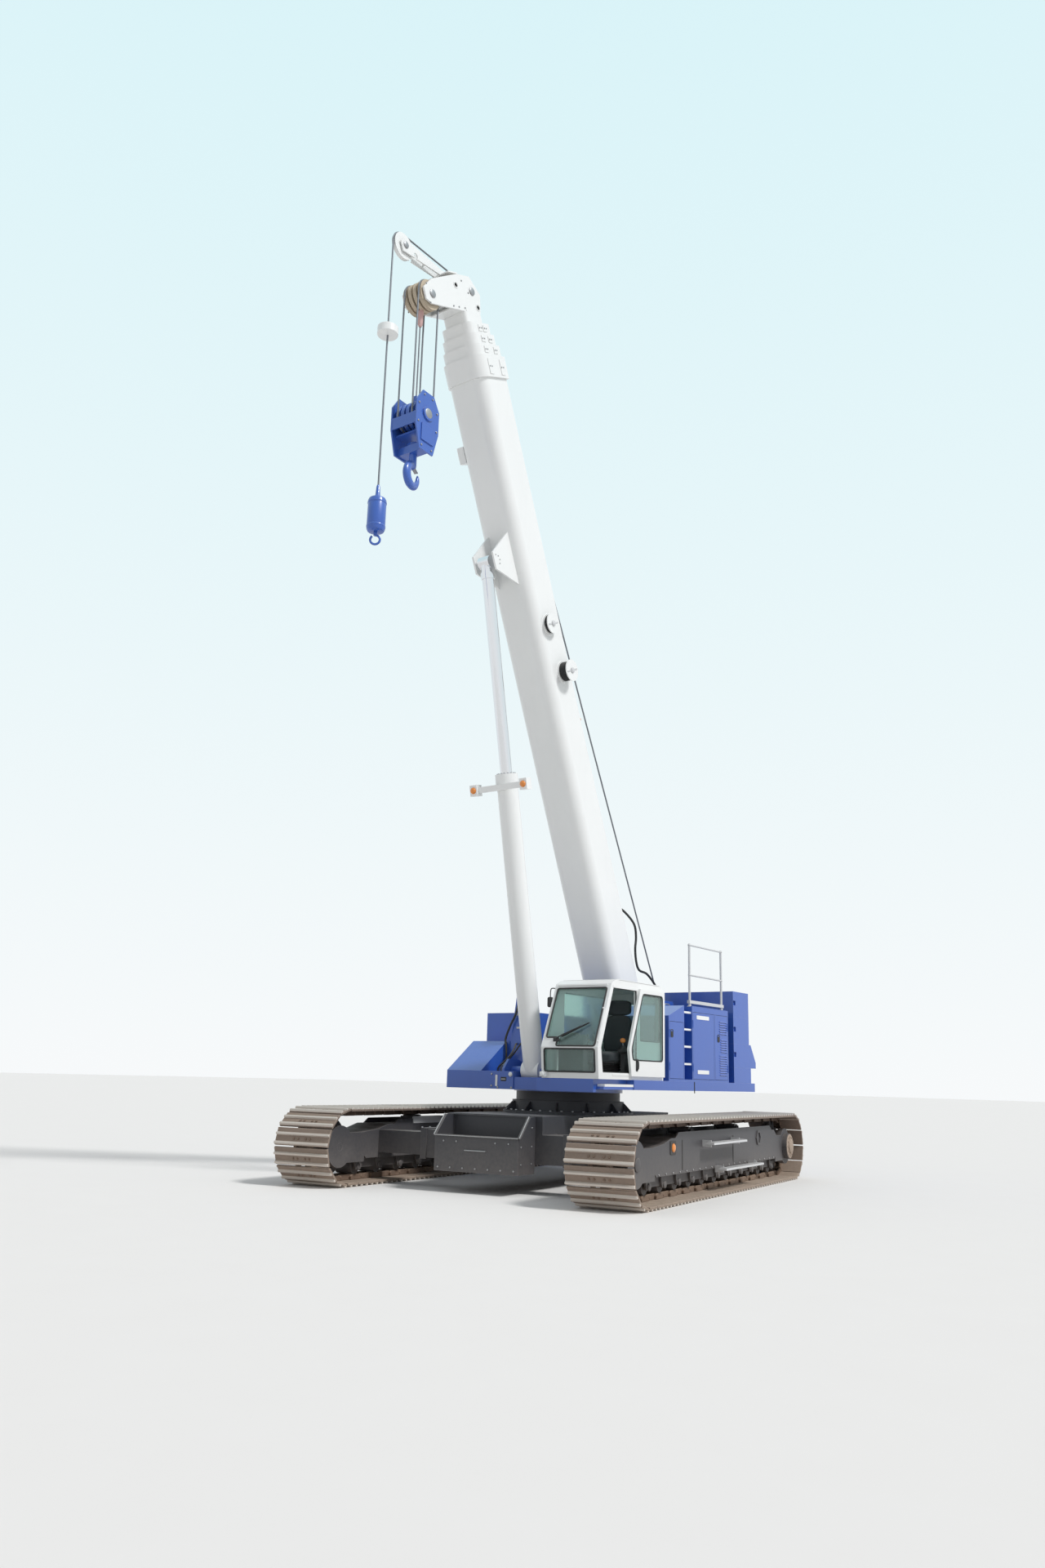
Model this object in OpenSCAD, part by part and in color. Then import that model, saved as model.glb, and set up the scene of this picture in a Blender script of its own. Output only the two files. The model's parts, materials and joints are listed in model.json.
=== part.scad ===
/* [Undercarriage] */
// Distance between the centre lines of the two tracks
gauge = 4400; // [4300:10:4800]
// Distance between the idler and sprocket centres
tumbler = 6400; // [6200:10:6800]
// Height of a track over its shoes
track_h = 1050; // [1040:5:1080]
// Width of a track shoe
shoe_w = 900; // [700:10:960]
// Thickness of a shoe with its grouser bars
shoe_t = 55; // [45:1:60]
// Thickness of a shoe's plate under its grouser bars
shoe_plate = 30; // [20:1:35]
// Track shoes on each side
shoe_count = 64; // [60:2:70]
// Depth of the chain inside the shoes
chain_t = 75; // [65:1:80]
// Width of the chain
chain_w = 300; // [260:10:360]
// Width of a side frame
frame_w = 560; // [500:10:620]
// Height of a side frame
frame_h = 450; // [420:10:470]
// Radius of a bottom roller
roller_r = 100; // [85:1:105]
// Bottom rollers on each side
roller_count = 11; // [9:1:13]
// Angle by which the tracks stand turned under the upper works
slew = 7; // [0:1:20]
// Distance of each cross tube from the slewing axis
tube_x = 2100; // [2000:10:2200]
// Width of a cross tube
tube_w = 440; // [400:10:480]
// Height of a cross tube
tube_h = 380; // [340:10:400]
// Height of the middle of a cross tube over the ground
tube_z = 580; // [570:5:600]
// Wall of a cross tube
tube_wall = 30; // [20:1:40]
// Length of a cross tube to each side
tube_len = 1180; // [1100:10:1190]
// Travel of a track towards the middle
track_stroke = 650; // [600:10:660]
// Length that stays in the cross tube with the side frames out
tube_grip = 480; // [400:10:500]
// Width of the carbody between the tracks
carbody_w = 1500; // [1300:10:1700]
// Height of the carbody's top over the ground
carbody_top = 1010; // [980:5:1020]
// Depth of the carbody
carbody_h = 560; // [500:10:620]
// Radius of the slewing ring
ring_r = 800; // [740:10:860]
// Height of the slewing ring
ring_h = 130; // [110:5:140]
// Height of the pedestal under the slewing ring
pedestal_h = 180; // [160:5:190]
// Width of the front stowage tray
tray_w = 1280; // [1100:10:1400]
// Depth of the front stowage tray, front to back
tray_d = 480; // [400:10:520]
// Plate of the stowage tray
tray_t = 14; // [10:1:20]

/* [Upper works] */
// Half of the width over the decks
half_w = 1500; // [1480:5:1560]
// Depth of the decks
deck_h = 140; // [120:5:150]
// Front end of the left walkway from the slewing axis
deck_front = 580; // [500:10:640]
// Rear end of the decks behind the slewing axis
deck_rear = 3600; // [3540:10:3620]
// Clear width between the two main plates
bay_w = 760; // [740:5:790]
// Thickness of a main plate
plate_t = 40; // [30:1:45]
// Height of the boom foot pin over the ground
foot_z = 2420; // [2400:5:2440]
// Distance of the boom foot pin behind the slewing axis
foot_x = 1500; // [1480:5:1520]
// Radius of the boom foot pin
foot_pin_r = 70; // [50:1:80]
// Thickness of hood walls and doors
hood_t = 30; // [20:1:40]
// Height of the hoods over the decks
hood_h = 1160; // [1100:10:1200]
// Front end of the left hood behind the slewing axis
hood_front = 480; // [440:5:500]
// Rear end of the hoods behind the slewing axis
hood_rear = 2570; // [2500:10:2600]
// Depth of the ladder's recess in the left hood
recess_d = 200; // [160:5:240]
// Front of the counterweight behind the slewing axis
cw_front = 2780; // [2740:10:2820]
// Tail radius of the counterweight
tail_r = 3950; // [3900:10:3980]
// Height of the counterweight's base
cw_base_h = 250; // [230:5:270]
// Height of one counterweight slab
cw_slab_h = 430; // [410:5:440]

/* [Cab] */
// Length of the cab at its floor
cab_l = 1870; // [1850:5:1900]
// Clearance between the cab and the main plate beside it
cab_gap = 86; // [70:2:120]
// Height of the cab
cab_h = 1400; // [1350:10:1450]
// Front of the cab from the slewing axis
cab_front = 1490; // [1470:5:1510]
// Lean of the windscreen between its foot and the roof
cab_lean = 330; // [300:10:350]
// Height of the bend in the cab's front over its floor
cab_knee = 430; // [400:5:460]
// Thickness of the cab walls
cab_t = 50; // [40:1:60]
// Thickness of the glass
glass_t = 8; // [6:1:10]
// Travel of the sliding door
door_travel = 750; // [700:10:760]
// Thickness of the sliding door
door_t = 38; // [30:1:42]

/* [Boom] */
// Luffing angle of the boom
luff = 65; // [62:1:68]
// Length of the base section from the foot pin
boom_l = 10950; // [10500:50:11000]
// Width of the base section
boom_w = 700; // [690:5:710]
// Height of the base section
boom_h = 720; // [700:5:730]
// Radius of the lower corners of the base section
boom_round = 200; // [180:5:220]
// Step in width and height from one section to the next
step = 66; // [60:1:70]
// Wall of the boom sections
wall = 12; // [8:1:16]
// Length of a section's end collar
collar_l = 170; // [140:5:180]
// Height of an end collar over its section
collar_t = 32; // [20:1:36]
// Rear end of section two from the foot pin
inner_rear = 900; // [800:10:1000]
// Radius of the main sheaves
head_r = 225; // [200:5:240]
// Radius of the sheave in the jib nose
nose_r = 200; // [180:5:210]
// Height of the nose sheave's axis over the main sheaves along the boom
nose_du = 729; // [700:1:760]
// Height of the nose sheave's axis below the main sheaves' across the boom
nose_dv = 190; // [170:1:210]

/* [Luffing cylinder] */
// Foot pin of the cylinder in front of the slewing axis
cyl_x = 940; // [920:5:960]
// Height of the cylinder's foot pin over the ground
cyl_z = 1620; // [1610:5:1640]
// Length of the barrel from its foot pin
barrel_l = 4450; // [4300:10:4500]
// Outer radius of the barrel
barrel_r = 160; // [145:1:165]
// Bore radius of the barrel
bore_r = 130; // [115:1:135]
// Radius of the rod
rod_r = 90; // [75:1:95]
// Length of the rod from its eye
rod_l = 4850; // [4700:10:4950]
// Place of the rod's eye along the boom
eye_u = 7840; // [7800:10:7900]
// Distance of the rod's eye below the boom's centre line
eye_v = 830; // [820:5:850]
// Radius of the rod's eye
eye_r = 100; // [95:1:105]

/* [Hooks] */
// Rope radius
rope_r = 13; // [10:1:15]
// Drop of the main block's sheaves below the head sheaves
main_drop = 2000; // [1800:10:2100]
// Drop of the ball below the nose sheave
aux_drop = 4150; // [4000:10:4250]
// Radius of the ball
ball_r = 127; // [120:1:150]
// Length of the ball
ball_l = 500; // [440:10:540]
// Turn of the main hook about the plumb line
hook_turn = 12; // [0:1:90]
// Turn of the auxiliary hook about the plumb line
aux_turn = 125; // [0:1:180]

/* [Hidden] */
$fn = 48;
// Seat: the hair gap between pieces that rest on one another
seat = 0.3;
// Running gap between pieces that slide or swing past one another
run = 6;
// Reach of a cut past the face that it opens
cut = 1;

// Levels and radii of the undercarriage
tip_r = track_h / 2;
axle_z = track_h / 2;
band_r = tip_r - shoe_t;
plate_r = band_r + shoe_plate;
wheel_r = band_r - chain_t;
half_base = tumbler / 2;
tube_out = tube_w / 2;
tube_in = tube_out - tube_wall;
beam_out = tube_in - run;
beam_up = tube_h / 2 - tube_wall - run;
beam_l = gauge / 2 - tube_len + tube_grip;
frame_low = 350;
frame_top = frame_low + frame_h;
frame_y = frame_w / 2;
frame_end = half_base - wheel_r - 70;
roller_z = shoe_t + chain_t + roller_r + seat;
roller_gap = (2 * frame_end - 2 * roller_r) / (roller_count - 1);
ring_z = carbody_top + pedestal_h;
ring_top = ring_z + ring_h;
carbody_end = tube_x + tube_out;
tray_top = carbody_top - 10;
tray_bottom = 270;
tray_lip = 730;

// Levels of the upper works
deck_z = ring_top + 60;
deck_top = deck_z + deck_h;
hood_z = deck_top + seat;
hood_top = hood_z + hood_h;
bay = bay_w / 2;
plate_y = bay + plate_t;
floor_top = deck_z + 60;
inner_y = plate_y + 90;
cab_side = half_w - door_t - run;
cab_in = plate_y + cab_gap;
cab_w = cab_side - cab_in;
cab_z = deck_top + seat;
cab_rear = cab_front - cab_l;

// Places along the boom, from the foot pin, u along it and v across it
section_w = function(i) boom_w - i * step;
section_h = function(i) boom_h - i * step;
section_round = function(i) boom_round - i * step / 2;
section_end = function(i) boom_l + i * (collar_l + run);
tip = section_end(4);
head_u = tip + 165;
head_v = -976;
nose_u = head_u + nose_du;
nose_v = head_v - nose_dv;
plan_x = function(u, v) -foot_x + u * cos(luff) - v * sin(luff);
plan_z = function(u, v) foot_z + u * sin(luff) + v * cos(luff);
head = [plan_x(head_u, head_v), 0, plan_z(head_u, head_v)];
nose = [plan_x(nose_u, nose_v), 0, plan_z(nose_u, nose_v)];
eye = [plan_x(eye_u, -eye_v), 0, plan_z(eye_u, -eye_v)];
cyl = [cyl_x, 0, cyl_z];
cyl_now = norm(eye - cyl);
cyl_lean = atan2(eye[2] - cyl[2], eye[0] - cyl[0]);
fall_x = head_r + seat;
aux_x = nose_r + seat;

// Ends of the whole crane fore and aft of the slewing axis
front_reach = nose[0] + aux_x + ball_r;
rear_reach = (half_base + tip_r) * cos(slew) + (gauge + shoe_w) / 2 * sin(slew);
mid_x = (front_reach - rear_reach) / 2;

// Placing
module place() { translate([-mid_x, 0, 0]) children(); }
module low() { place() rotate([0, 0, slew]) children(); }
module side(s) { low() translate([0, s * gauge / 2, 0]) children(); }
module boomwise() { place() translate([-foot_x, 0, foot_z]) rotate([0, -luff, 0]) children(); }
module cylwise() { place() translate(cyl) rotate([0, -cyl_lean, 0]) children(); }
// A flat outline in x and z, drawn out along y about its middle
module slab(w) { rotate([90, 0, 0]) linear_extrude(height = w, center = true) children(); }
// A block from one corner to the other
module block(a, b) { translate(a) cube(b - a); }
module pin_y(r, l) { rotate([90, 0, 0]) cylinder(h = l, r = r, center = true); }
module pin_x(r, l) { rotate([0, 90, 0]) cylinder(h = l, r = r); }
// A turned piece about the y axis, from its radii and offsets
module turned_y(points) { rotate([90, 0, 0]) rotate_extrude() polygon(points); }
// A sheave of width w with its rope groove
module sheave(r, w) {
  turned_y([[0, -w / 2], [r, -w / 2], [r - rope_r, -w / 6], [r - rope_r, w / 6], [r, w / 2], [0, w / 2]]);
}

// Undercarriage
collar_over = 18;
module carbody() {
  color("dimgray") low() difference() {
    union() {
      block([-carbody_end, -carbody_w / 2, carbody_top - carbody_h],
        [carbody_end, carbody_w / 2, carbody_top]);
      for (s = [-1, 1]) {
        block([s * tube_x - tube_out, -tube_len, tube_z - tube_h / 2],
          [s * tube_x + tube_out, tube_len, tube_z + tube_h / 2]);
        // Collars round the mouths of the cross tubes
        for (y = [-1, 1]) translate([s * tube_x, y * (tube_len - 60), tube_z])
          cube([tube_w + 2 * collar_over, 100, tube_h + 2 * collar_over], center = true);
      }
      translate([0, 0, carbody_top - cut]) cylinder(h = pedestal_h + cut - seat, r = ring_r + 60);
      translate([0, 0, carbody_top - cut]) cylinder(h = 30, r = ring_r + 200);
    }
    for (s = [-1, 1]) block([s * tube_x - tube_in, -tube_len - cut, tube_z - tube_h / 2 + tube_wall],
      [s * tube_x + tube_in, tube_len + cut, tube_z + tube_h / 2 - tube_wall]);
  }
}
module slew_ring() {
  color("dimgray") low() translate([0, 0, ring_z]) difference() {
    cylinder(h = ring_h, r = ring_r);
    translate([0, 0, -cut]) cylinder(h = ring_h + 2 * cut, r = ring_r - 220);
  }
}
tray_slope = tray_d * 0.45;
flange_w = 36;
flange_t = 8;
module stowage_tray() {
  color("black") low() translate([carbody_end + seat, 0, 0]) {
    difference() {
      slab(tray_w) polygon([[0, tray_bottom], [tray_d, tray_bottom], [tray_d, tray_lip],
        [tray_slope, tray_top], [0, tray_top]]);
      slab(tray_w - 2 * tray_t) polygon([[tray_t, tray_bottom + tray_t],
        [tray_d - tray_t, tray_bottom + tray_t], [tray_d - tray_t, tray_top + cut],
        [tray_t, tray_top + cut]]);
    }
    // Flanges along the slanted edges of the cheeks and along the lip
    for (s = [-1, 1]) translate([0, s * (tray_w + flange_w) / 2, 0]) slab(flange_w) polygon([
      [tray_slope, tray_top], [tray_slope - 10, tray_top - flange_t], [tray_d - flange_t, tray_lip - 6],
      [tray_d, tray_lip]]);
    block([tray_d - cut, -tray_w / 2, tray_lip - flange_t], [tray_d + 20, tray_w / 2, tray_lip]);
    block([tray_t - cut, -tray_w / 2, tray_top - flange_t], [tray_t + 30, tray_w / 2, tray_top]);
  }
}

// Track units: s is 1 on the left and -1 on the right
fork_y = chain_w / 2 + 40;
fork_t = frame_y - fork_y;
fork_r = 280;
axle_r = 60;
carrier_r = 50;
carrier_x = 1000;
carrier_z = axle_z + wheel_r - carrier_r - seat;
drive_r = 200;
drive_reach = 80;
seams = [1650, -460];
hatch_hex = [-1700, 700, 120];
module side_frame(s) {
  color("dimgray") side(s) {
    difference() {
      slab(frame_w) polygon([[-frame_end, frame_low + 110], [-frame_end + 170, frame_low],
        [frame_end - 170, frame_low], [frame_end, frame_low + 110], [frame_end, 700], [2300, 740],
        [2050, frame_top], [-frame_end + 170, frame_top], [-frame_end, frame_top - 100]]);
      // Upright grooves of the outer face
      for (x = seams) translate([x, s * frame_y, frame_low + 200]) cube([22, 24, 330], center = true);
    }
    // Raised side plates under the shoes
    for (y = [-1, 1]) translate([0, y * (frame_y - 10), 0]) slab(20) polygon([[-2450, frame_top - cut],
      [1900, frame_top - cut], [1780, carrier_z], [-2330, carrier_z]]);
    // Fork plates that carry the idler and the sprocket
    difference() {
      for (x = [-1, 1], y = [-1, 1]) translate([x * half_base, y * (fork_y + fork_t / 2), axle_z]) {
        slab(fork_t) circle(fork_r);
        translate([-x * 330, 0, -20]) cube([500, fork_t, 400], center = true);
      }
      for (x = [-1, 1]) translate([x * half_base, 0, axle_z]) pin_y(axle_r + seat, frame_w + 2 * cut);
    }
    // Cover of the final drive and hexagonal rim of the filler
    translate([-half_base, s * (frame_y + drive_reach / 2 - cut), axle_z]) pin_y(drive_r, drive_reach);
    translate([hatch_hex[0], s * (frame_y + 8), hatch_hex[1]]) slab(20) difference() {
      circle(hatch_hex[2], $fn = 6);
      circle(hatch_hex[2] - 30, $fn = 6);
    }
    // Rails over the roller pins
    difference() {
      for (y = [-1, 1]) translate([0, y * (chain_w / 2 + 10), (frame_low + roller_z) / 2])
        cube([2 * frame_end - 200, 20, frame_low - roller_z + 20], center = true);
      for (i = [0 : roller_count - 1]) translate([roller_x(i), 0, roller_z]) pin_y(30 + seat, frame_w);
    }
    // Posts of the carrier rollers
    for (x = [-1, 1], y = [-1, 1]) difference() {
      translate([x * carrier_x, y * (chain_w / 2 + 20), (frame_top + carrier_z) / 2 + 10])
        cube([90, 24, carrier_z - frame_top + 24], center = true);
      translate([x * carrier_x, 0, carrier_z]) pin_y(20 + seat, frame_w);
    }
    // Beams that slide in the cross tubes
    for (x = [-1, 1]) translate([x * tube_x, -s * beam_l / 2, tube_z - run + seat])
      cube([2 * beam_out, beam_l, 2 * beam_up], center = true);
  }
}
roller_x = function(i) (i - (roller_count - 1) / 2) * roller_gap;
module loop_body(r, w) {
  slab(w) union() {
    translate([-half_base, axle_z - r]) square([tumbler, 2 * r]);
    for (x = [-1, 1]) translate([x * half_base, axle_z]) circle(r);
  }
}
// A point of the shoe loop: d along the loop at the band's radius, r out from the wheels' line
arc_l = PI * band_r;
loop_l = 2 * tumbler + 2 * arc_l;
loop_arc = function(x, a, r) [x + r * cos(a), axle_z + r * sin(a)];
loop_at = function(d, r)
  d < tumbler ? [half_base - d, axle_z + r]
  : d < tumbler + arc_l ? loop_arc(-half_base, 90 + 180 * (d - tumbler) / arc_l, r)
  : d < 2 * tumbler + arc_l ? [d - arc_l - tumbler - half_base, axle_z - r]
  : loop_arc(half_base, 270 + 180 * (d - 2 * tumbler - arc_l) / arc_l, r);
// One shoe's outline: share of its pitch, and 1 on a bar's top or 0 on the plate
shoe_line = [[0.05, 0], [0.09, 1], [0.19, 1], [0.25, 0], [0.55, 0], [0.59, 1], [0.69, 1], [0.75, 0]];
module track(s) {
  color("rosybrown") side(s) {
    difference() {
      slab(shoe_w) polygon([for (k = [0 : shoe_count - 1], p = shoe_line)
        loop_at((k + p[0]) * loop_l / shoe_count, p[1] > 0 ? tip_r : plate_r)]);
      loop_body(band_r, shoe_w + 2 * cut);
    }
    difference() {
      loop_body(band_r + cut, chain_w);
      loop_body(wheel_r, chain_w + 2 * cut);
    }
  }
}
teeth = 13;
module wheels(s) {
  color("dimgray") side(s) {
    translate([half_base, 0, axle_z]) {
      turned_y([[0, -90], [130, -90], [150, -40], [300, -30], [320, -70], [wheel_r - seat, -70],
        [wheel_r - seat, 70], [320, 70], [300, 30], [150, 40], [130, 90], [0, 90]]);
      pin_y(axle_r, frame_w - 4 * cut);
    }
    translate([-half_base, 0, axle_z]) {
      slab(90) polygon([for (i = [0 : 2 * teeth - 1], w = [-4, 4])
        (i % 2 == 0 ? wheel_r - seat : wheel_r - 60) * [cos(i * 180 / teeth + w), sin(i * 180 / teeth + w)]]);
      pin_y(150, 180);
      pin_y(axle_r, frame_w - 4 * cut);
    }
    for (i = [0 : roller_count - 1]) translate([roller_x(i), 0, roller_z]) {
      pin_y(roller_r, chain_w - 20);
      pin_y(30, chain_w + 40);
    }
    for (x = [-1, 1]) translate([x * carrier_x, 0, carrier_z]) {
      pin_y(carrier_r, chain_w - 20);
      pin_y(20, chain_w + 50);
    }
  }
}
// Step bars: rear end, front end and height of each
step_bars = [[-490, 980, 690], [-1290, 470, 330]];
step_reach = 150;
step_t = 28;
bracket_t = 16;
module steps(s) {
  color("lightgray") side(s) for (b = step_bars) {
    translate([0, s * (frame_y + step_reach), 0]) block([b[0], -60, b[2]], [b[1], 60, b[2] + step_t]);
    for (x = [b[0] + 120, b[1] - 120]) translate([x, s * (frame_y + seat + (step_reach - 20) / 2), b[2] + 10])
      cube([bracket_t, step_reach - 20, 90], center = true);
  }
}
module frame_left() { side_frame(1); }
module track_left() { track(1); }
module wheels_left() { wheels(1); }
module steps_left() { steps(1); }
module frame_right() { side_frame(-1); }
module track_right() { track(-1); }
module wheels_right() { wheels(-1); }
module steps_right() { steps(-1); }

// Upper works
cyl_pin_r = 60;
boss_over = 30;
plate_front = 1180;
nose_x = 1200;
nose_low = 1340;
nose_lip = 1600;
nose_top = 2060;
nose_clear = 200;
winch_front = -2080;
winch_top = 2860;
module plate_outline() {
  polygon([[plate_front, deck_z], [plate_front, 1640], [1060, 1780], [820, 1780], [420, 1620],
    [-700, 1760], [-foot_x + 230, foot_z + 120], [-foot_x + 120, foot_z + 220],
    [-foot_x - 120, foot_z + 220], [-foot_x - 260, foot_z + 80], [winch_front, foot_z + 60],
    [winch_front - 100, winch_top], [winch_front - 580, winch_top], [-cw_front + 10, winch_top - 260],
    [-cw_front + 10, deck_z]]);
}
module turntable() {
  color("royalblue") place() {
    translate([0, 0, ring_top + seat]) cylinder(h = deck_z - ring_top - 2 * seat, r = ring_r + 40);
    block([-deck_rear, -plate_y, deck_z - 5], [plate_front, plate_y, floor_top]);
    for (s = [-1, 1]) translate([0, s * (bay + plate_t / 2), 0]) slab(plate_t) plate_outline();
    block([-deck_rear, -plate_y, deck_z], [-cw_front, plate_y, deck_top]);
    translate([-foot_x, 0, foot_z]) pin_y(foot_pin_r, 2 * plate_y + 2 * boss_over);
    translate(cyl) pin_y(cyl_pin_r, 2 * plate_y + 2 * boss_over);
    // Bosses round the pins on the outer faces
    for (s = [-1, 1]) {
      translate([-foot_x, s * (plate_y + 9), foot_z]) pin_y(foot_pin_r + 80, 20);
      translate([cyl_x, s * (plate_y + 9), cyl_z]) pin_y(cyl_pin_r + boss_over, 20);
    }
    // Front box beside the cylinder, and the apron under the bay
    block([plate_front - 200, -inner_y + seat, nose_low], [nose_x, -nose_clear, nose_lip]);
    block([plate_front - 30, -nose_clear - cut, nose_low], [plate_front, plate_y, deck_top]);
  }
}
deck_step = 130;
module decks() {
  color("cornflowerblue") place() {
    block([-deck_rear, -half_w, deck_z], [deck_front, -plate_y - seat, deck_top]);
    block([-deck_rear, plate_y + seat, deck_z], [deck_front, half_w, deck_top]);
    block([deck_front - cut, plate_y + seat, deck_z], [cab_front, half_w - deck_step, deck_top]);
    block([deck_front - cut, half_w - deck_step - cut, deck_z], [cab_front - 80, half_w - 10, deck_z + 40]);
    block([ring_r + 100, plate_y + seat, deck_z - 40], [cab_front, half_w - deck_step, deck_z + cut]);
  }
}
nose_wide = half_w - 50 - inner_y;
nose_back = 140;
nose_peak = 560;
post_top = 2750;
post_in = 430;
post_out = 710;
post_x = nose_peak - 100;
nose_step = inner_y + 290;
module nose_box() {
  color("royalblue") place() {
    difference() {
      translate([0, -inner_y - nose_wide / 2, 0]) slab(nose_wide)
        polygon([[nose_x, nose_low], [nose_x, nose_lip], [nose_peak, nose_top], [nose_back, nose_top],
          [nose_back, hood_z], [deck_front + seat, hood_z], [deck_front + seat, deck_z],
          [nose_x - 260, deck_z], [nose_x - 260, nose_low]]);
      block([nose_peak, -nose_step, nose_lip], [nose_x + cut, -inner_y + cut, nose_top + cut]);
    }
    // Post that leads the hoses up to the boom, narrowing upwards
    translate([post_x, 0, 0]) rotate([90, 0, 90]) linear_extrude(height = 110)
      polygon([[-post_out, nose_lip - cut], [-post_in, nose_lip - cut], [-post_in, nose_top + 10],
        [-post_in - 95, post_top], [-post_out + 90, post_top], [-post_out, nose_top + 10]]);
  }
}
// Doors of the left hood: rear edge, front edge, 1 if hinged at the front edge, and drop of the top
hatches = [[-960, -510, 1, 270], [-2030, -1290, 1, 90], [-2540, -2070, -1, 90]];
hatch_low = hood_z + 40;
hatch_high = function(h) hood_top - h[3];
recess_rear = -1260;
recess_front = -990;
hood_chamfer = 185;
// Hinge knuckles: the hood's one carries the door's one above it
knuckle_r = 12;
knuckle_h = 60;
knuckle_gap = 3;
knuckle_z = function(h) [hatch_low + 120, hatch_high(h) - 120 - 2 * knuckle_h];
hinge_x = function(h) h[2] > 0 ? h[1] : h[0];
module hood_left() {
  color("cornflowerblue") place() {
    difference() {
      union() {
        difference() {
          block([-hood_rear, inner_y, hood_z], [-hood_front, half_w, hood_top]);
          block([-hood_rear + hood_t, inner_y + hood_t, hood_z + hood_t],
            [-hood_front - hood_t, half_w - hood_t, hood_top - hood_chamfer - hood_t]);
        }
        block([recess_rear - hood_t, half_w - recess_d - hood_t, hood_z],
          [recess_front + hood_t, half_w, hood_top]);
      }
      block([recess_rear, half_w - recess_d, hood_z + hood_t],
        [recess_front, half_w + cut, hood_top + cut]);
      // Slope of the top over the front door
      slab(4 * half_w) polygon([[-hood_front + cut, hood_top - hood_chamfer], [recess_front, hood_top],
        [recess_front, hood_top + cut], [-hood_front + cut, hood_top + cut]]);
      for (h = hatches) {
        block([h[0] - run, half_w - hood_t - cut, hatch_low - run],
          [h[1] + run, half_w + cut, hatch_high(h) + run]);
        for (z = knuckle_z(h)) translate([hinge_x(h), half_w, z + knuckle_h])
          cylinder(h = knuckle_h + seat + knuckle_gap, r = knuckle_r + knuckle_gap);
      }
    }
    for (h = hatches, z = knuckle_z(h)) translate([hinge_x(h), half_w, z])
      cylinder(h = knuckle_h, r = knuckle_r);
  }
}
// Louvres of the rear door: lowest height over the door's foot, count and rear and front edges
louvres = [[60, 9, 40, 300], [430, 6, 40, 260], [720, 6, 40, 300]];
louvre_gap = 38;
louvre_h = 16;
louvre_deep = 12;
module hatch(i) {
  h = hatches[i];
  color("cornflowerblue") place() {
    difference() {
      block([h[0], half_w - hood_t, hatch_low], [h[1], half_w, hatch_high(h)]);
      for (z = knuckle_z(h)) translate([hinge_x(h), half_w, z - knuckle_gap])
        cylinder(h = knuckle_h + knuckle_gap + seat, r = knuckle_r + knuckle_gap);
      if (i == 2) for (g = louvres, k = [0 : g[1] - 1])
        block([h[0] + g[2], half_w - louvre_deep, hatch_low + g[0] + k * louvre_gap],
          [h[0] + g[3], half_w + cut, hatch_low + g[0] + k * louvre_gap + louvre_h]);
    }
    for (z = knuckle_z(h)) translate([hinge_x(h), half_w, z + knuckle_h + seat])
      cylinder(h = knuckle_h, r = knuckle_r);
  }
}
module hatch_front() { hatch(0); }
module hatch_middle() { hatch(1); }
module hatch_rear() { hatch(2); }
hood_right_top = hood_top - 160;
// Panel joints of the right hood
joints = [-2000, -1300, -600];
module hood_right() {
  color("cornflowerblue") place() difference() {
    block([-hood_rear, -half_w, hood_z], [nose_back - seat, -inner_y, hood_right_top]);
    for (x = joints) block([x, -half_w - cut, hood_z + 40], [x + 12, -half_w + 10, hood_right_top - 40]);
    for (k = [0 : 8]) block([-2420, -half_w - cut, hood_z + 300 + 2 * k * louvre_gap],
      [-2080, -half_w + louvre_deep, hood_z + 300 + 2 * k * louvre_gap + 2 * louvre_h]);
  }
}
rung_low = 250;
rung_gap = 265;
module ladder() {
  color("whitesmoke") place() {
    for (i = [0 : 3]) block([recess_rear + seat, half_w - 60, hood_z + rung_low + i * rung_gap],
      [recess_front - seat, half_w - 20, hood_z + rung_low + 30 + i * rung_gap]);
    // Step plate below the cab's doorway
    block([deck_front + seat, half_w - deck_step + seat, deck_z + 40 + seat],
      [cab_front - 110, half_w - 10, deck_z + 75]);
  }
}
module engine_block() {
  color("gray") place() block([-hood_rear + 3 * hood_t, inner_y + hood_t + 20, hood_z + hood_t + seat],
    [recess_rear - 70, half_w - recess_d - 4 * hood_t, hood_z + hood_h * 0.67]);
}
// Winch drums: place and height
drums = [[-1880, 1760], [-2420, 2560]];
drum_r = 200;
flange_r = 285;
module winches() {
  color("steelblue") place() for (d = drums) translate([d[0], 0, d[1]]) {
    pin_y(drum_r, bay_w - 80);
    for (y = [-1, 1]) translate([0, y * (bay - 60), 0]) pin_y(flange_r, 24);
    pin_y(90, bay_w - 2 * seat);
  }
}
cw_lower_top = deck_top + cw_base_h + cw_slab_h - 40;
cw_middle_top = cw_lower_top + cw_slab_h + 10;
cw_levels = [deck_top + seat, deck_top + cw_base_h, cw_lower_top, cw_middle_top,
  cw_middle_top + cw_slab_h];
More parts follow.
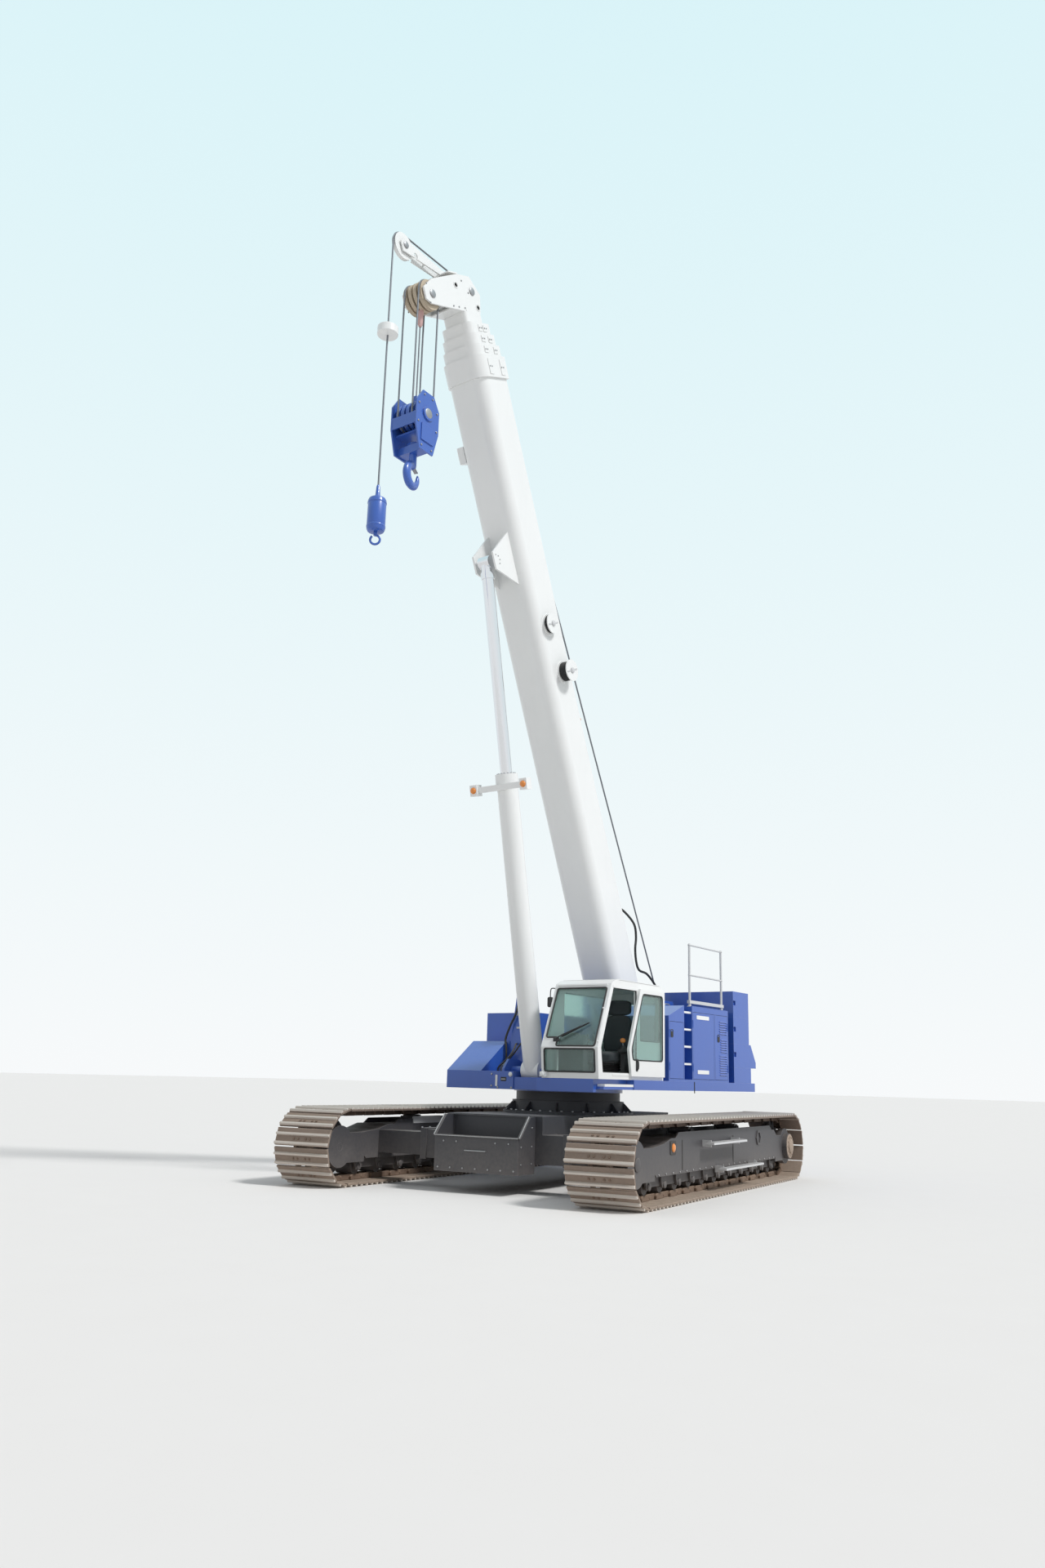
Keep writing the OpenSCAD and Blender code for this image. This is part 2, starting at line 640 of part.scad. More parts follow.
// Distance of the corner cut before the tail, for each slab
cw_corner = [500, 230, 560, 560];
module cw_plan(corner) {
  intersection() {
    translate([-tail_r, -half_w]) square([tail_r - cw_front, 2 * half_w]);
    circle(tail_r, $fn = 96);
    polygon([[0, -half_w - cut], [-tail_r + corner, -half_w - cut], [-tail_r - 100, -half_w * 0.4],
      [-tail_r - 100, half_w * 0.4], [-tail_r + corner, half_w + cut], [0, half_w + cut]]);
  }
}
pocket = [90, 60, 80];
corner_turn = 160;
corner_slope = 250;
module cw_slab(i) {
  h = cw_levels[i + 1] - cw_levels[i] - (i < 3 ? seat : 0);
  color("royalblue") place() translate([0, 0, cw_levels[i]]) difference() {
    linear_extrude(height = h) cw_plan(cw_corner[i]);
    // Lifting pockets at the front corners
    if (i > 0) for (s = [-1, 1]) translate([-cw_front - 50, s * half_w, h * 0.55]) cube(pocket, center = true);
    // Slope of the corners of the second slab, from its foot in to the slab over it
    if (i == 1) for (s = [-1, 1]) translate([-tail_r + cw_corner[i], s * half_w, 0])
      rotate([0, 0, s * corner_turn]) slab(2 * half_w)
        polygon([[0, 0], [-corner_slope, h + cut], [corner_slope, h + cut], [corner_slope, 0]]);
  }
}
module cw_base() { cw_slab(0); }
module cw_lower() { cw_slab(1); }
module cw_middle() { cw_slab(2); }
module cw_top() { cw_slab(3); }
rail_y = half_w - 60;
rail_ends = [-2450, -1300];
module handrails() {
  color("lightgray") place() {
    for (x = rail_ends) translate([x, rail_y, hood_top + seat]) cylinder(h = 1000, r = 19);
    for (z = [500, 980]) translate([rail_ends[0], rail_y, hood_top + z])
      pin_x(14, rail_ends[1] - rail_ends[0]);
    // Toe board
    block([rail_ends[0] - 40, rail_y - 25, hood_top + 50], [rail_ends[1] + 40, rail_y + 25, hood_top + 100]);
  }
}

// Cab: its outline over the floor, pulled in by t
knee_out = 35;
cab_brow = 120;
cab_slope = 60;
function cab_outline(t) = [[cab_rear + t, cab_z + t], [cab_front - t, cab_z + t],
  [cab_front + knee_out - t, cab_z + cab_knee], [cab_front - cab_lean - t, cab_z + cab_h - cab_slope - t * 0.6],
  [cab_front - cab_lean - cab_brow - t, cab_z + cab_h - t], [cab_rear + 80 + t, cab_z + cab_h - t],
  [cab_rear + t, cab_z + cab_h - cab_slope - t]];
cab_mid = cab_in + cab_w / 2;
door_low = cab_z + 50;
door_high = cab_z + cab_h - 90;
// Windows: heights over the floor, and margins from the sides
screen_low = 445;
screen_high = 1275;
screen_edge = 55;
lower_low = 90;
lower_high = 405;
side_low = 560;
side_high = 1230;
rear_edge = 120;
rear_high = 1150;
// Rear and front edges of the left side window and of the right one
left_window = [cab_rear + 120, 330];
right_window = [cab_rear + 150, 1000];
door_rear = 430;
module cab_body() {
  color("white") place() {
    difference() {
      translate([0, cab_mid, 0]) slab(cab_w) polygon(cab_outline(0));
      translate([0, cab_mid, 0]) slab(cab_w - 2 * cab_t) polygon(cab_outline(cab_t));
      // Windscreen with its stepped corner, lower front window, rear window
      block([cab_front - 500, cab_in + 250, cab_z + screen_low],
        [cab_front + 100, cab_side - screen_edge, cab_z + screen_high]);
      block([cab_front - 500, cab_in + screen_edge, cab_z + screen_low + 120],
        [cab_front + 100, cab_in + 251, cab_z + screen_high]);
      block([cab_front - 200, cab_in + screen_edge, cab_z + lower_low],
        [cab_front + 100, cab_side - screen_edge, cab_z + lower_high]);
      block([cab_rear - cut, cab_in + rear_edge, cab_z + side_low],
        [cab_rear + cab_t + cut, cab_side - rear_edge, cab_z + rear_high]);
      // Door opening and side windows
      translate([0, cab_side, 0]) slab(3 * cab_t) polygon([[door_rear, door_low + 40],
        [cab_front - 110, door_low + 40], [cab_front - 60, cab_z + cab_knee],
        [cab_front - cab_lean - 60, door_high - 30], [door_rear, door_high - 30]]);
      block([left_window[0], cab_side - cab_t - cut, cab_z + side_low],
        [left_window[1], cab_side + cut, cab_z + side_high]);
      block([right_window[0], cab_in - cut, cab_z + side_low],
        [right_window[1], cab_in + cab_t + cut, cab_z + side_high]);
    }
    // Rails that carry the sliding door
    for (z = [door_low, door_high - 30])
      block([cab_rear, cab_side - cut, z], [cab_front - cab_lean - 40, cab_side + run - seat, z + 30]);
    // Lamp on the foot of the right front corner
    translate([cab_front + 30, cab_in + 60, cab_z + 50]) cube([100, 90, 70], center = true);
  }
}
glass_in = 20;
module cab_glass() {
  color("lightblue", 0.4) place() {
    block([cab_rear + glass_in, cab_in + rear_edge + seat, cab_z + side_low + seat],
      [cab_rear + glass_in + glass_t, cab_side - rear_edge - seat, cab_z + rear_high - seat]);
    block([left_window[0] + seat, cab_side - glass_in - glass_t, cab_z + side_low + seat],
      [left_window[1] - seat, cab_side - glass_in, cab_z + side_high - seat]);
    block([right_window[0] + seat, cab_in + glass_in, cab_z + side_low + seat],
      [right_window[1] - seat, cab_in + glass_in + glass_t, cab_z + side_high - seat]);
    // Slanted screen with its stepped corner, and the lower pane
    difference() {
      translate([0, cab_mid, 0]) slab(cab_w - 2 * screen_edge - 2 * seat) intersection() {
        screen_strip(cab_knee, cab_h - cab_slope, knee_out, -cab_lean);
        translate([0, cab_z + screen_low + seat])
          square([2 * cab_front, screen_high - screen_low - 2 * seat]);
      }
      block([0, cab_in, cab_z], [2 * cab_front, cab_in + 250 + seat, cab_z + screen_low + 120 + seat]);
    }
    translate([0, cab_mid, 0]) slab(cab_w - 2 * screen_edge - 2 * seat) intersection() {
      screen_strip(0, cab_knee, 0, knee_out);
      translate([0, cab_z + lower_low + seat]) square([2 * cab_front, lower_high - lower_low - 2 * seat]);
    }
  }
}
// A pane set into the front between two heights over the floor and two offsets from the cab's front
module screen_strip(z0, z1, x0, x1) {
  polygon([[cab_front + x0 - glass_in, cab_z + z0], [cab_front + x1 - glass_in, cab_z + z1],
    [cab_front + x1 - glass_in - glass_t, cab_z + z1], [cab_front + x0 - glass_in - glass_t, cab_z + z0]]);
}
module cab_seat() {
  color("black") place() {
    block([150, cab_mid - 260, cab_z + cab_t + seat], [700, cab_mid + 260, cab_z + 400]);
    translate([0, cab_mid, 0]) slab(460) polygon([[130, cab_z + 350], [235, cab_z + 350],
      [200, cab_z + 900], [190, cab_z + 1180], [90, cab_z + 1180], [80, cab_z + 900]]);
    block([1150, cab_mid - 330, cab_z + cab_t + seat], [1300, cab_mid + 100, cab_z + 620]);
  }
}
door_y = cab_side + run + door_t / 2;
door_back = 400;
module door_outline(t) {
  polygon([[door_back + t, door_low + t], [cab_front - 90 - t, door_low + t],
    [cab_front - 20 - t, cab_z + cab_knee], [cab_front - cab_lean - 20 - t, door_high - t],
    [door_back + t, door_high - t]]);
}
module door_window(t) {
  intersection() {
    door_outline(70 + t);
    translate([0, cab_z + 280 + t]) square([2 * cab_front, cab_h]);
  }
}
module cab_door() {
  color("white") place() translate([-door_travel, door_y, 0]) {
    slab(door_t) difference() {
      door_outline(0);
      door_window(0);
    }
  }
}
module door_glass() {
  color("lightblue", 0.4) place() translate([-door_travel, door_y, 0]) slab(glass_t) door_window(seat);
}

// Boom: sections from 0, the base, to 4, the fly. Its profile has wide lower and narrow upper corners
top_round = 30;
module profile(w, h, low_r, top_r) {
  union() {
    translate([-w / 2 + low_r, -h / 2]) square([w - 2 * low_r, h]);
    translate([-w / 2, -h / 2 + low_r]) square([w, h - low_r - top_r]);
    translate([-w / 2 + top_r, 0]) square([w - 2 * top_r, h / 2]);
    for (s = [-1, 1]) {
      translate([s * (w / 2 - low_r), -h / 2 + low_r]) circle(low_r);
      translate([s * (w / 2 - top_r), h / 2 - top_r]) circle(top_r);
    }
  }
}
// A tube of the profile from u0 to u1, with its wall or the next section's room inside
module box_tube(u0, u1, w, h, low_r, w_in, h_in, in_r) {
  translate([u0, 0, 0]) rotate([90, 0, 90]) linear_extrude(height = u1 - u0) difference() {
    profile(w, h, low_r, top_round);
    profile(w_in, h_in, in_r, top_round - wall);
  }
}
module boom_section(i) {
  w = section_w(i);
  h = section_h(i);
  r = section_round(i);
  box_tube(i == 0 ? 500 : inner_rear + 60 * i, section_end(i) - (i < 4 ? cut : 0), w, h, r,
    w - 2 * wall, h - 2 * wall, r - wall);
  if (i < 4) box_tube(section_end(i) - (i == 0 ? 2 : 1) * collar_l, section_end(i),
    w + 2 * collar_t, h + 2 * collar_t, r + collar_t,
    section_w(i + 1) + 2 * seat, section_h(i + 1) + 2 * seat, section_round(i + 1) + seat);
}
foot_r = 240;
cheek_w = 340;
cheek_t = 30;
module boom_base() {
  color("white") boomwise() {
    difference() {
      union() {
        boom_section(0);
        difference() {
          slab(boom_w - 2 * boom_round)
            polygon([[0, -foot_r], [520, -boom_h / 2], [520, boom_h / 2], [0, foot_r]]);
          slab(boom_w - 2 * boom_round - 120) polygon([[foot_r, -foot_r], [530, -boom_h / 2 + 40],
            [530, boom_h / 2 - 40], [foot_r, foot_r]]);
        }
        // Foot cheeks to the full width
        for (s = [-1, 1]) translate([0, s * (boom_w / 2 - 35), 0]) slab(70) polygon([[0, -foot_r],
          [520, -boom_h / 2 + boom_round], [520, boom_h / 2 - top_round], [0, foot_r]]);
        pin_y(foot_r, boom_w);
      }
      pin_y(foot_pin_r + seat, boom_w + 2 * cut);
    }
    // Cheeks that hold the rod's eye
    for (y = [-1, 1]) translate([0, y * (cheek_w / 2 + cheek_t / 2), 0]) slab(cheek_t) polygon([
      [eye_u - 420, -boom_h / 2 + wall], [eye_u - 130, -eye_v - 60], [eye_u + 130, -eye_v - 60],
      [eye_u + 420, -boom_h / 2 + wall]]);
  }
}
module boom_two() { color("white") boomwise() boom_section(1); }
module boom_three() { color("white") boomwise() boom_section(2); }
module boom_four() { color("white") boomwise() boom_section(3); }
module boom_fly() { color("white") boomwise() boom_section(4); }
head_gap = 360;
head_plate = 30;
jib_pins = [[tip + 90, 190], [tip + 380, -300]];
jib_pin_r = 35;
head_axle = 50;
guide = [tip + 330, 110];
module boom_head() {
  color("white") boomwise() {
    for (y = [-1, 1]) translate([0, y * (head_gap + head_plate) / 2, 0]) slab(head_plate) difference() {
      polygon([[tip + seat, -section_h(4) / 2], [head_u - 150, head_v - 60], [head_u - 90, head_v - 180],
        [head_u + 90, head_v - 180], [head_u + 230, head_v + 60], [tip + 560, -200], [tip + 560, 120],
        [tip + 300, 330], [tip + seat, section_h(4) / 2]]);
      translate([head_u, head_v]) circle(head_axle + seat);
      translate(guide) circle(head_axle + seat);
      for (p = jib_pins) translate(p) circle(jib_pin_r);
    }
    block([tip + seat, -section_w(4) / 2, -section_h(4) / 2 + section_round(4)],
      [tip + 30, section_w(4) / 2, section_h(4) / 2 - top_round]);
    block([tip + seat, -head_gap / 2 - cut, -560], [tip + 20, head_gap / 2 + cut, 0]);
    // Rope guard bars between the plates
    for (p = [[head_u + 190, head_v + 250], [tip + 90, -500]])
      translate([p[0], 0, p[1]]) pin_y(18, head_gap + cut);
  }
}
sheave_gap = 90;
sheave_w = 60;
guide_r = head_r - 25;
module head_sheaves() {
  color("tan") boomwise() {
    translate([head_u, 0, head_v]) {
      for (i = [-1.5, -0.5, 0.5, 1.5]) translate([0, i * sheave_gap, 0]) sheave(head_r, sheave_w);
      pin_y(head_axle, head_gap + 2 * head_plate);
    }
    translate([guide[0], 0, guide[1]]) {
      for (i = [-0.5, 0.5]) translate([0, i * sheave_gap, 0]) sheave(guide_r, sheave_w);
      pin_y(head_axle, head_gap + 2 * head_plate);
    }
  }
}
nose_gap = 90;
nose_plate = 20;
nose_root = tip + 560 + seat;
module nose_jib() {
  color("white") boomwise() {
    for (y = [-1, 1]) translate([0, y * (nose_gap + nose_plate) / 2, 0]) slab(nose_plate) difference() {
      polygon([[nose_root, -190], [nose_u + 60, nose_v + 100], [nose_u + 110, nose_v + 20],
        [nose_u + 60, nose_v - 90], [nose_u - 90, nose_v - 90], [nose_root, -420]]);
      translate([nose_u - 130, nose_v + 190]) circle(45);
    }
    block([nose_root, -head_gap / 2 - head_plate, -420], [nose_root + 20, head_gap / 2 + head_plate, -190]);
    for (p = [[nose_root + 60, -330], [nose_root + 150, -680]])
      translate([p[0], 0, p[1]]) pin_y(16, nose_gap + 2 * nose_plate);
    translate([nose_u, 0, nose_v]) {
      sheave(nose_r, sheave_w);
      pin_y(40, nose_gap + 4);
    }
  }
}
// Hose reels on the left of the base section: place along and across it, radius and width
reels = [[5930, 130, 175, 170], [6720, 0, 165, 90]];
reel_rim = 16;
module cable_reels() {
  color("whitesmoke") boomwise() {
    for (r = reels) translate([r[0], boom_w / 2 + seat, r[1]]) turned_y([[0, -r[3]], [r[2], -r[3]],
      [r[2], reel_rim - r[3]], [r[2] - 30, reel_rim - r[3]], [r[2] - 30, -reel_rim], [r[2], -reel_rim],
      [r[2], 0], [0, 0]]);
    // Lamp box on the right of the base section
    translate([9600, -boom_w / 2 - seat - 60, -140]) cube([260, 120, 200], center = true);
  }
}

// Luffing cylinder, drawn along its own line from the foot pin
gland = 60;
bar_u = barrel_l - 200;
bar_y = 520;
module luff_barrel() {
  color("white") cylwise() {
    difference() {
      union() {
        pin_x(barrel_r, barrel_l);
        translate([barrel_l - 180, 0, 0]) pin_x(barrel_r + 14, 180);
        pin_y(150, 300);
        // Bar across the barrel's top that carries lamps
        translate([bar_u, 0, -barrel_r - 20]) cube([90, 2 * bar_y, 60], center = true);
        for (y = [-1, 1]) translate([bar_u, y * (bar_y - 60), -barrel_r - 30])
          cube([170, 130, 130], center = true);
      }
      translate([240, 0, 0]) pin_x(bore_r, barrel_l - 240 - gland);
      translate([barrel_l - gland - cut, 0, 0]) pin_x(rod_r + seat, gland + 2 * cut);
      pin_y(cyl_pin_r + seat, 2 * barrel_r + 20);
    }
  }
}
module luff_rod() {
  color("silver") cylwise() {
    translate([cyl_now - rod_l, 0, 0]) {
      pin_x(rod_r, rod_l);
      pin_x(bore_r - seat, 120);
    }
    translate([cyl_now, 0, 0]) pin_y(eye_r, 200);
    translate([cyl_now - 260, 0, 0]) pin_x(rod_r + 14, 100);
  }
}

// Hooks: the falls and the line hang plumb from their sheaves
module hook_falls() {
  color("dimgray") place() translate(head) for (x = [-1, 1], y = [-1.5, 1.5])
    translate([x * fall_x, y * sheave_gap, -main_drop]) cylinder(h = main_drop, r = rope_r, $fn = 16);
}
// Levels of the main block below its sheaves, and the hook's shank in its crosshead
cheek_low = -600;
cheek_y = 215;
cheek_plate = 24;
cross_z = -520;
cross_h = 120;
shank_r = 55;
hook_r = 150;
hook_t = 52;
throat_z = cross_z - cross_h / 2 - 330;
module hook_block() {
  color("royalblue") place() translate(head - [0, 0, main_drop]) {
    for (y = [-1, 1]) translate([0, y * (cheek_y + cheek_plate / 2), 0]) {
      slab(cheek_plate) polygon([[-120, 330], [120, 330], [250, 130], [250, -230], [150, cheek_low],
        [-150, cheek_low], [-250, -230], [-250, 130]]);
      // Boss and cheek weight
      translate([0, y * 20, 0]) pin_y(110, 26);
      translate([0, y * 18, -330]) cube([260, 20, 260], center = true);
    }
    for (i = [-1.5, -0.5, 0.5, 1.5]) translate([0, i * sheave_gap, 0]) sheave(head_r, sheave_w);
    pin_y(50, 2 * cheek_y + cut);
    // Guards below the falls, fore and aft
    for (x = [-1, 1]) translate([x * 238, 0, -150]) cube([16, 2 * cheek_y + cut, 180], center = true);
    translate([0, 0, cross_z]) difference() {
      cube([160, 2 * cheek_y + cut, cross_h], center = true);
      cylinder(h = cross_h + 2 * cut, r = shank_r + seat, center = true);
    }
    translate([0, 0, -300]) cube([300, 2 * cheek_y + cut, 24], center = true);
  }
}
module main_hook() {
  color("royalblue") place() translate(head - [0, 0, main_drop]) {
    translate([0, 0, throat_z + hook_r - 20])
      cylinder(h = cross_z + cross_h / 2 - throat_z - hook_r + 40, r = shank_r);
    translate([0, 0, cross_z + cross_h / 2 + seat]) cylinder(h = 50, r = 90);
    translate([0, 0, throat_z]) rotate([90, 0, hook_turn]) rotate([0, 0, -200]) rotate_extrude(angle = 290)
      translate([hook_r, 0]) circle(hook_t);
  }
}
weight_z = 1700;
module aux_line() {
  color("royalblue") place() translate(nose + [aux_x, 0, -aux_drop]) {
    translate([0, 0, -cut]) cylinder(h = aux_drop + cut, r = rope_r, $fn = 16);
    translate([0, 0, -ball_l]) rotate_extrude() polygon([[0, 0], [ball_r - 30, 0], [ball_r, 40],
      [ball_r, ball_l - 30], [ball_r - 40, ball_l], [0, ball_l]]);
    translate([0, 0, aux_drop - weight_z]) cylinder(h = 220, r = 60);
  }
}
ring_mean = 66;
ring_bar = 16;
ring_drop = 115;
module aux_hook() {
  color("royalblue") place() translate(nose + [aux_x, 0, -aux_drop - ball_l - seat]) {
    translate([0, 0, -ring_drop + ring_mean - 4]) cylinder(h = ring_drop - ring_mean + 4, r = 26);
    translate([0, 0, -ring_drop]) rotate([90, 0, aux_turn]) rotate([0, 0, -230]) rotate_extrude(angle = 330)
      translate([ring_mean, 0]) circle(ring_bar);
  }
}

carbody();
slew_ring();
stowage_tray();
frame_left();
track_left();
wheels_left();
steps_left();
frame_right();
track_right();
wheels_right();
steps_right();
turntable();
decks();
nose_box();
hood_left();
hood_right();
ladder();
engine_block();
winches();
cw_base();
cw_lower();
cw_middle();
cw_top();
handrails();
cab_body();
cab_glass();
cab_seat();
cab_door();
door_glass();
hatch_front();
hatch_middle();
hatch_rear();
boom_base();
boom_two();
boom_three();
boom_four();
boom_fly();
boom_head();
head_sheaves();
nose_jib();
cable_reels();
luff_barrel();
luff_rod();
hook_falls();
hook_block();
main_hook();
aux_line();
aux_hook();
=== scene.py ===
"""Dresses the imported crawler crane: camera, light, finishes and the fine pieces.

Every size is in metres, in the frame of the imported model: +X forward along the
boom, +Y to the cab side, +Z up, origin on the ground under the middle of the crane.
"""

import json
import logging
import math
from dataclasses import dataclass
from enum import Enum
from typing import Callable, Sequence

import bpy
import numpy as np
from mathutils import Matrix, Vector


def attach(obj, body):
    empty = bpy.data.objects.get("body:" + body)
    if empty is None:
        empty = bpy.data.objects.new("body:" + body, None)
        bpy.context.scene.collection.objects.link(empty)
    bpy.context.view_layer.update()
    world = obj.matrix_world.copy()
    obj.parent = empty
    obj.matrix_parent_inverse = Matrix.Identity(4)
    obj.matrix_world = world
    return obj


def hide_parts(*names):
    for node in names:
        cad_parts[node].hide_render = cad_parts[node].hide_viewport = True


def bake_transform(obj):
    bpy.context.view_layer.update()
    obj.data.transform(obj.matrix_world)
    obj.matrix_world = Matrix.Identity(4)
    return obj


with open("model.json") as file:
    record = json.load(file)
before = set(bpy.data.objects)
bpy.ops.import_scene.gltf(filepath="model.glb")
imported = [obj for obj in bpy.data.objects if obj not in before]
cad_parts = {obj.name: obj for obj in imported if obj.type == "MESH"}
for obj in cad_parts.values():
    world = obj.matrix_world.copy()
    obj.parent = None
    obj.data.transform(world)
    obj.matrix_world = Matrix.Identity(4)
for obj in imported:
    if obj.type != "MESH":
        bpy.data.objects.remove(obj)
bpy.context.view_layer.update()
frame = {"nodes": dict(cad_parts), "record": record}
LOG = logging.getLogger("crane")
Array = np.ndarray


class Slot(Enum):
    """Material slots of the record."""

    WHITE = "white"
    BLUE = "blue"
    DARK = "dark"
    SHOES = "shoes"
    STEEL = "steel"
    CHROME = "chrome"
    GREY = "grey"
    GLASS = "glass"
    TRIM = "trim"
    ROPE = "rope"
    SHEAVE = "sheave"


class Axis(Enum):
    """Directions that a piece is drawn along."""

    X = 0
    Y = 1
    Z = 2


@dataclass
class Shell:
    """Vertices and faces of a piece, before it becomes an object.

    points is one row of x, y, z for each vertex, corners the vertex of each face
    corner, and sizes the corner count of each face.
    """

    points: Array
    corners: Array
    sizes: Array

    def moved(self, turn: Array, shift: Sequence[float]) -> "Shell":
        """The shell turned by a 3 x 3 matrix and shifted."""
        return Shell(self.points @ np.asarray(turn).T + np.asarray(shift, float), self.corners, self.sizes)

    def shifted(self, shift: Sequence[float]) -> "Shell":
        """The shell shifted without a turn."""
        return self.moved(np.eye(3), shift)

    def copies(self, turns: Array, shifts: Array) -> "Shell":
        """Copies the shell to many places at once.

        Each copy is turn_k times every point plus shift_k, worked out as one array.

        Args:
            turns: k matrices, 3 x 3 each, or one for all.
            shifts: k places.

        Returns:
            One shell that holds all the copies.
        """
        shifts = np.atleast_2d(np.asarray(shifts, float))
        turns = np.broadcast_to(np.asarray(turns, float), (len(shifts), 3, 3))
        spread = np.einsum("kij,nj->kni", turns, self.points) + shifts[:, None, :]
        step = np.arange(len(shifts))[:, None] * len(self.points)
        corners = (self.corners[None, :] + step).reshape(-1)
        return Shell(spread.reshape(-1, 3), corners, np.tile(self.sizes, len(shifts)))


def joined(shells: Sequence[Shell]) -> Shell:
    """Puts several shells into one, with the corner numbers of each moved up."""
    starts = np.cumsum([0] + [len(s.points) for s in shells[:-1]])
    return Shell(
        np.concatenate([s.points for s in shells]),
        np.concatenate([s.corners + b for s, b in zip(shells, starts)]),
        np.concatenate([s.sizes for s in shells]),
    )


def woven(grid: Array, wrap_u: bool = False, wrap_v: bool = True, caps: bool = True) -> Shell:
    """Skins a grid of points with quads.

    Row i and column j of the grid are the surface at parameters u_i and v_j. A quad
    joins (i, j), (i+1, j), (i+1, j+1) and (i, j+1); wrapping joins the last to the first.

    Args:
        grid: n x m x 3 points.
        wrap_u: Whether the last row meets the first.
        wrap_v: Whether the last column meets the first.
        caps: Whether the first and last rows are closed by flat faces.

    Returns:
        The skinned shell.
    """
    n, m = grid.shape[:2]
    i = np.arange(n if wrap_u else n - 1)[:, None]
    j = np.arange(m if wrap_v else m - 1)[None, :]
    i2, j2 = (i + 1) % n, (j + 1) % m
    quads = np.stack([i * m + j, i2 * m + j, i2 * m + j2, i * m + j2], axis=-1).reshape(-1)
    sizes = np.full(len(quads) // 4, 4)
    if caps and not wrap_u:
        first, last = np.arange(m), np.arange(m)[::-1] + (n - 1) * m
        quads = np.concatenate([quads, first, last])
        sizes = np.concatenate([sizes, [m, m]])
    return Shell(grid.reshape(-1, 3).astype(float), quads, sizes)


def ring(radius: float, count: int) -> Array:
    """A circle of points: radius times cos and sin of equal angles."""
    angle = np.arange(count) * (2 * math.pi / count)
    return radius * np.stack([np.cos(angle), np.sin(angle)], axis=1)


def inset(outline: Array, depth: float) -> Array:
    """Moves each corner of a closed outline inwards.

    A corner moves along the sum of the two side normals, scaled so that both sides
    come in by the same depth. The outline runs counter-clockwise.
    """
    ahead = np.roll(outline, -1, axis=0) - outline
    ahead /= np.maximum(np.linalg.norm(ahead, axis=1, keepdims=True), 1e-9)
    left = np.stack([-ahead[:, 1], ahead[:, 0]], axis=1)
    both = left + np.roll(left, 1, axis=0)
    scale = np.maximum((both * left).sum(axis=1, keepdims=True), 0.35)
    return outline + both / scale * depth


def turn_to(axis: Axis) -> Array:
    """Matrix that takes a drawing in x, y with its depth along z to one along the axis.

    Along Y the drawing's x and y become X and Z, along X they become Y and Z.
    """
    if axis is Axis.Y:
        return np.array([[1, 0, 0], [0, 0, -1], [0, 1, 0]], float)
    if axis is Axis.X:
        return np.array([[0, 0, 1], [1, 0, 0], [0, 1, 0]], float)
    return np.eye(3)


def plate(outline: Array, low: float, high: float, axis: Axis, edge: float = 0.003) -> Shell:
    """A plate: its outline carried along an axis, with both rims chamfered.

    The rings are the outline drawn in by the chamfer at one face, the full outline a
    chamfer further in, and the same two at the other face.

    Args:
        outline: Corners of the plate, counter-clockwise in its own two axes.
        low: Place of one face along the axis.
        high: Place of the other face.
        axis: The axis across the plate.
        edge: Depth of the chamfer.

    Returns:
        The closed shell.
    """
    outline = np.asarray(outline, float)
    if axis is Axis.Y:
        low, high = -high, -low
    small = inset(outline, edge)
    rings = [(small, low), (outline, low + edge), (outline, high - edge), (small, high)]
    grid = np.stack([np.column_stack([o, np.full(len(o), h)]) for o, h in rings])
    return flipped(woven(grid)).moved(turn_to(axis), (0, 0, 0))


def flipped(shell: Shell) -> Shell:
    """The shell with every face turned over, by reading all corners backwards."""
    return Shell(shell.points, shell.corners[::-1].copy(), shell.sizes[::-1].copy())


def slab(low: Sequence[float], high: Sequence[float], edge: float = 0.003, axis: Axis = Axis.Z) -> Shell:
    """A block between two corners with its rims chamfered, drawn as a plate."""
    lo, hi = np.minimum(low, high), np.maximum(low, high)
    a, b = {Axis.Z: (0, 1), Axis.Y: (0, 2), Axis.X: (1, 2)}[axis]
    box = np.array([[lo[a], lo[b]], [hi[a], lo[b]], [hi[a], hi[b]], [lo[a], hi[b]]])
    return plate(box, lo[axis.value], hi[axis.value], axis, edge)


def lathed(profile: Array, axis: Axis, centre: Sequence[float], count: int = 32) -> Shell:
    """A turned piece: the radius of each profile point carried round the axis.

    Point (i, j) is r_i times cos and sin of angle j, at height h_i along the axis.

    Args:
        profile: Rows of radius and height, heights rising.
        axis: The axis that the piece turns about.
        centre: Where height 0 of the profile lies.
        count: Sides round the axis.

    Returns:
        The closed shell.
    """
    profile = np.asarray(profile, float)
    around = ring(1.0, count)
    flat = np.maximum(profile[:, 0], 1e-4)[:, None, None] * around[None]
    high = np.broadcast_to(profile[:, 1][:, None, None], (len(profile), count, 1))
    return flipped(woven(np.concatenate([flat, high], axis=2))).moved(turn_round(axis), centre)


def turn_round(axis: Axis) -> Array:
    """Matrix that lays a piece drawn along z along the axis, without turning it over."""
    return {
        Axis.Z: np.eye(3),
        Axis.Y: np.array([[1, 0, 0], [0, 0, 1], [0, -1, 0]], float),
        Axis.X: np.array([[0, 0, 1], [0, 1, 0], [-1, 0, 0]], float),
    }[axis]


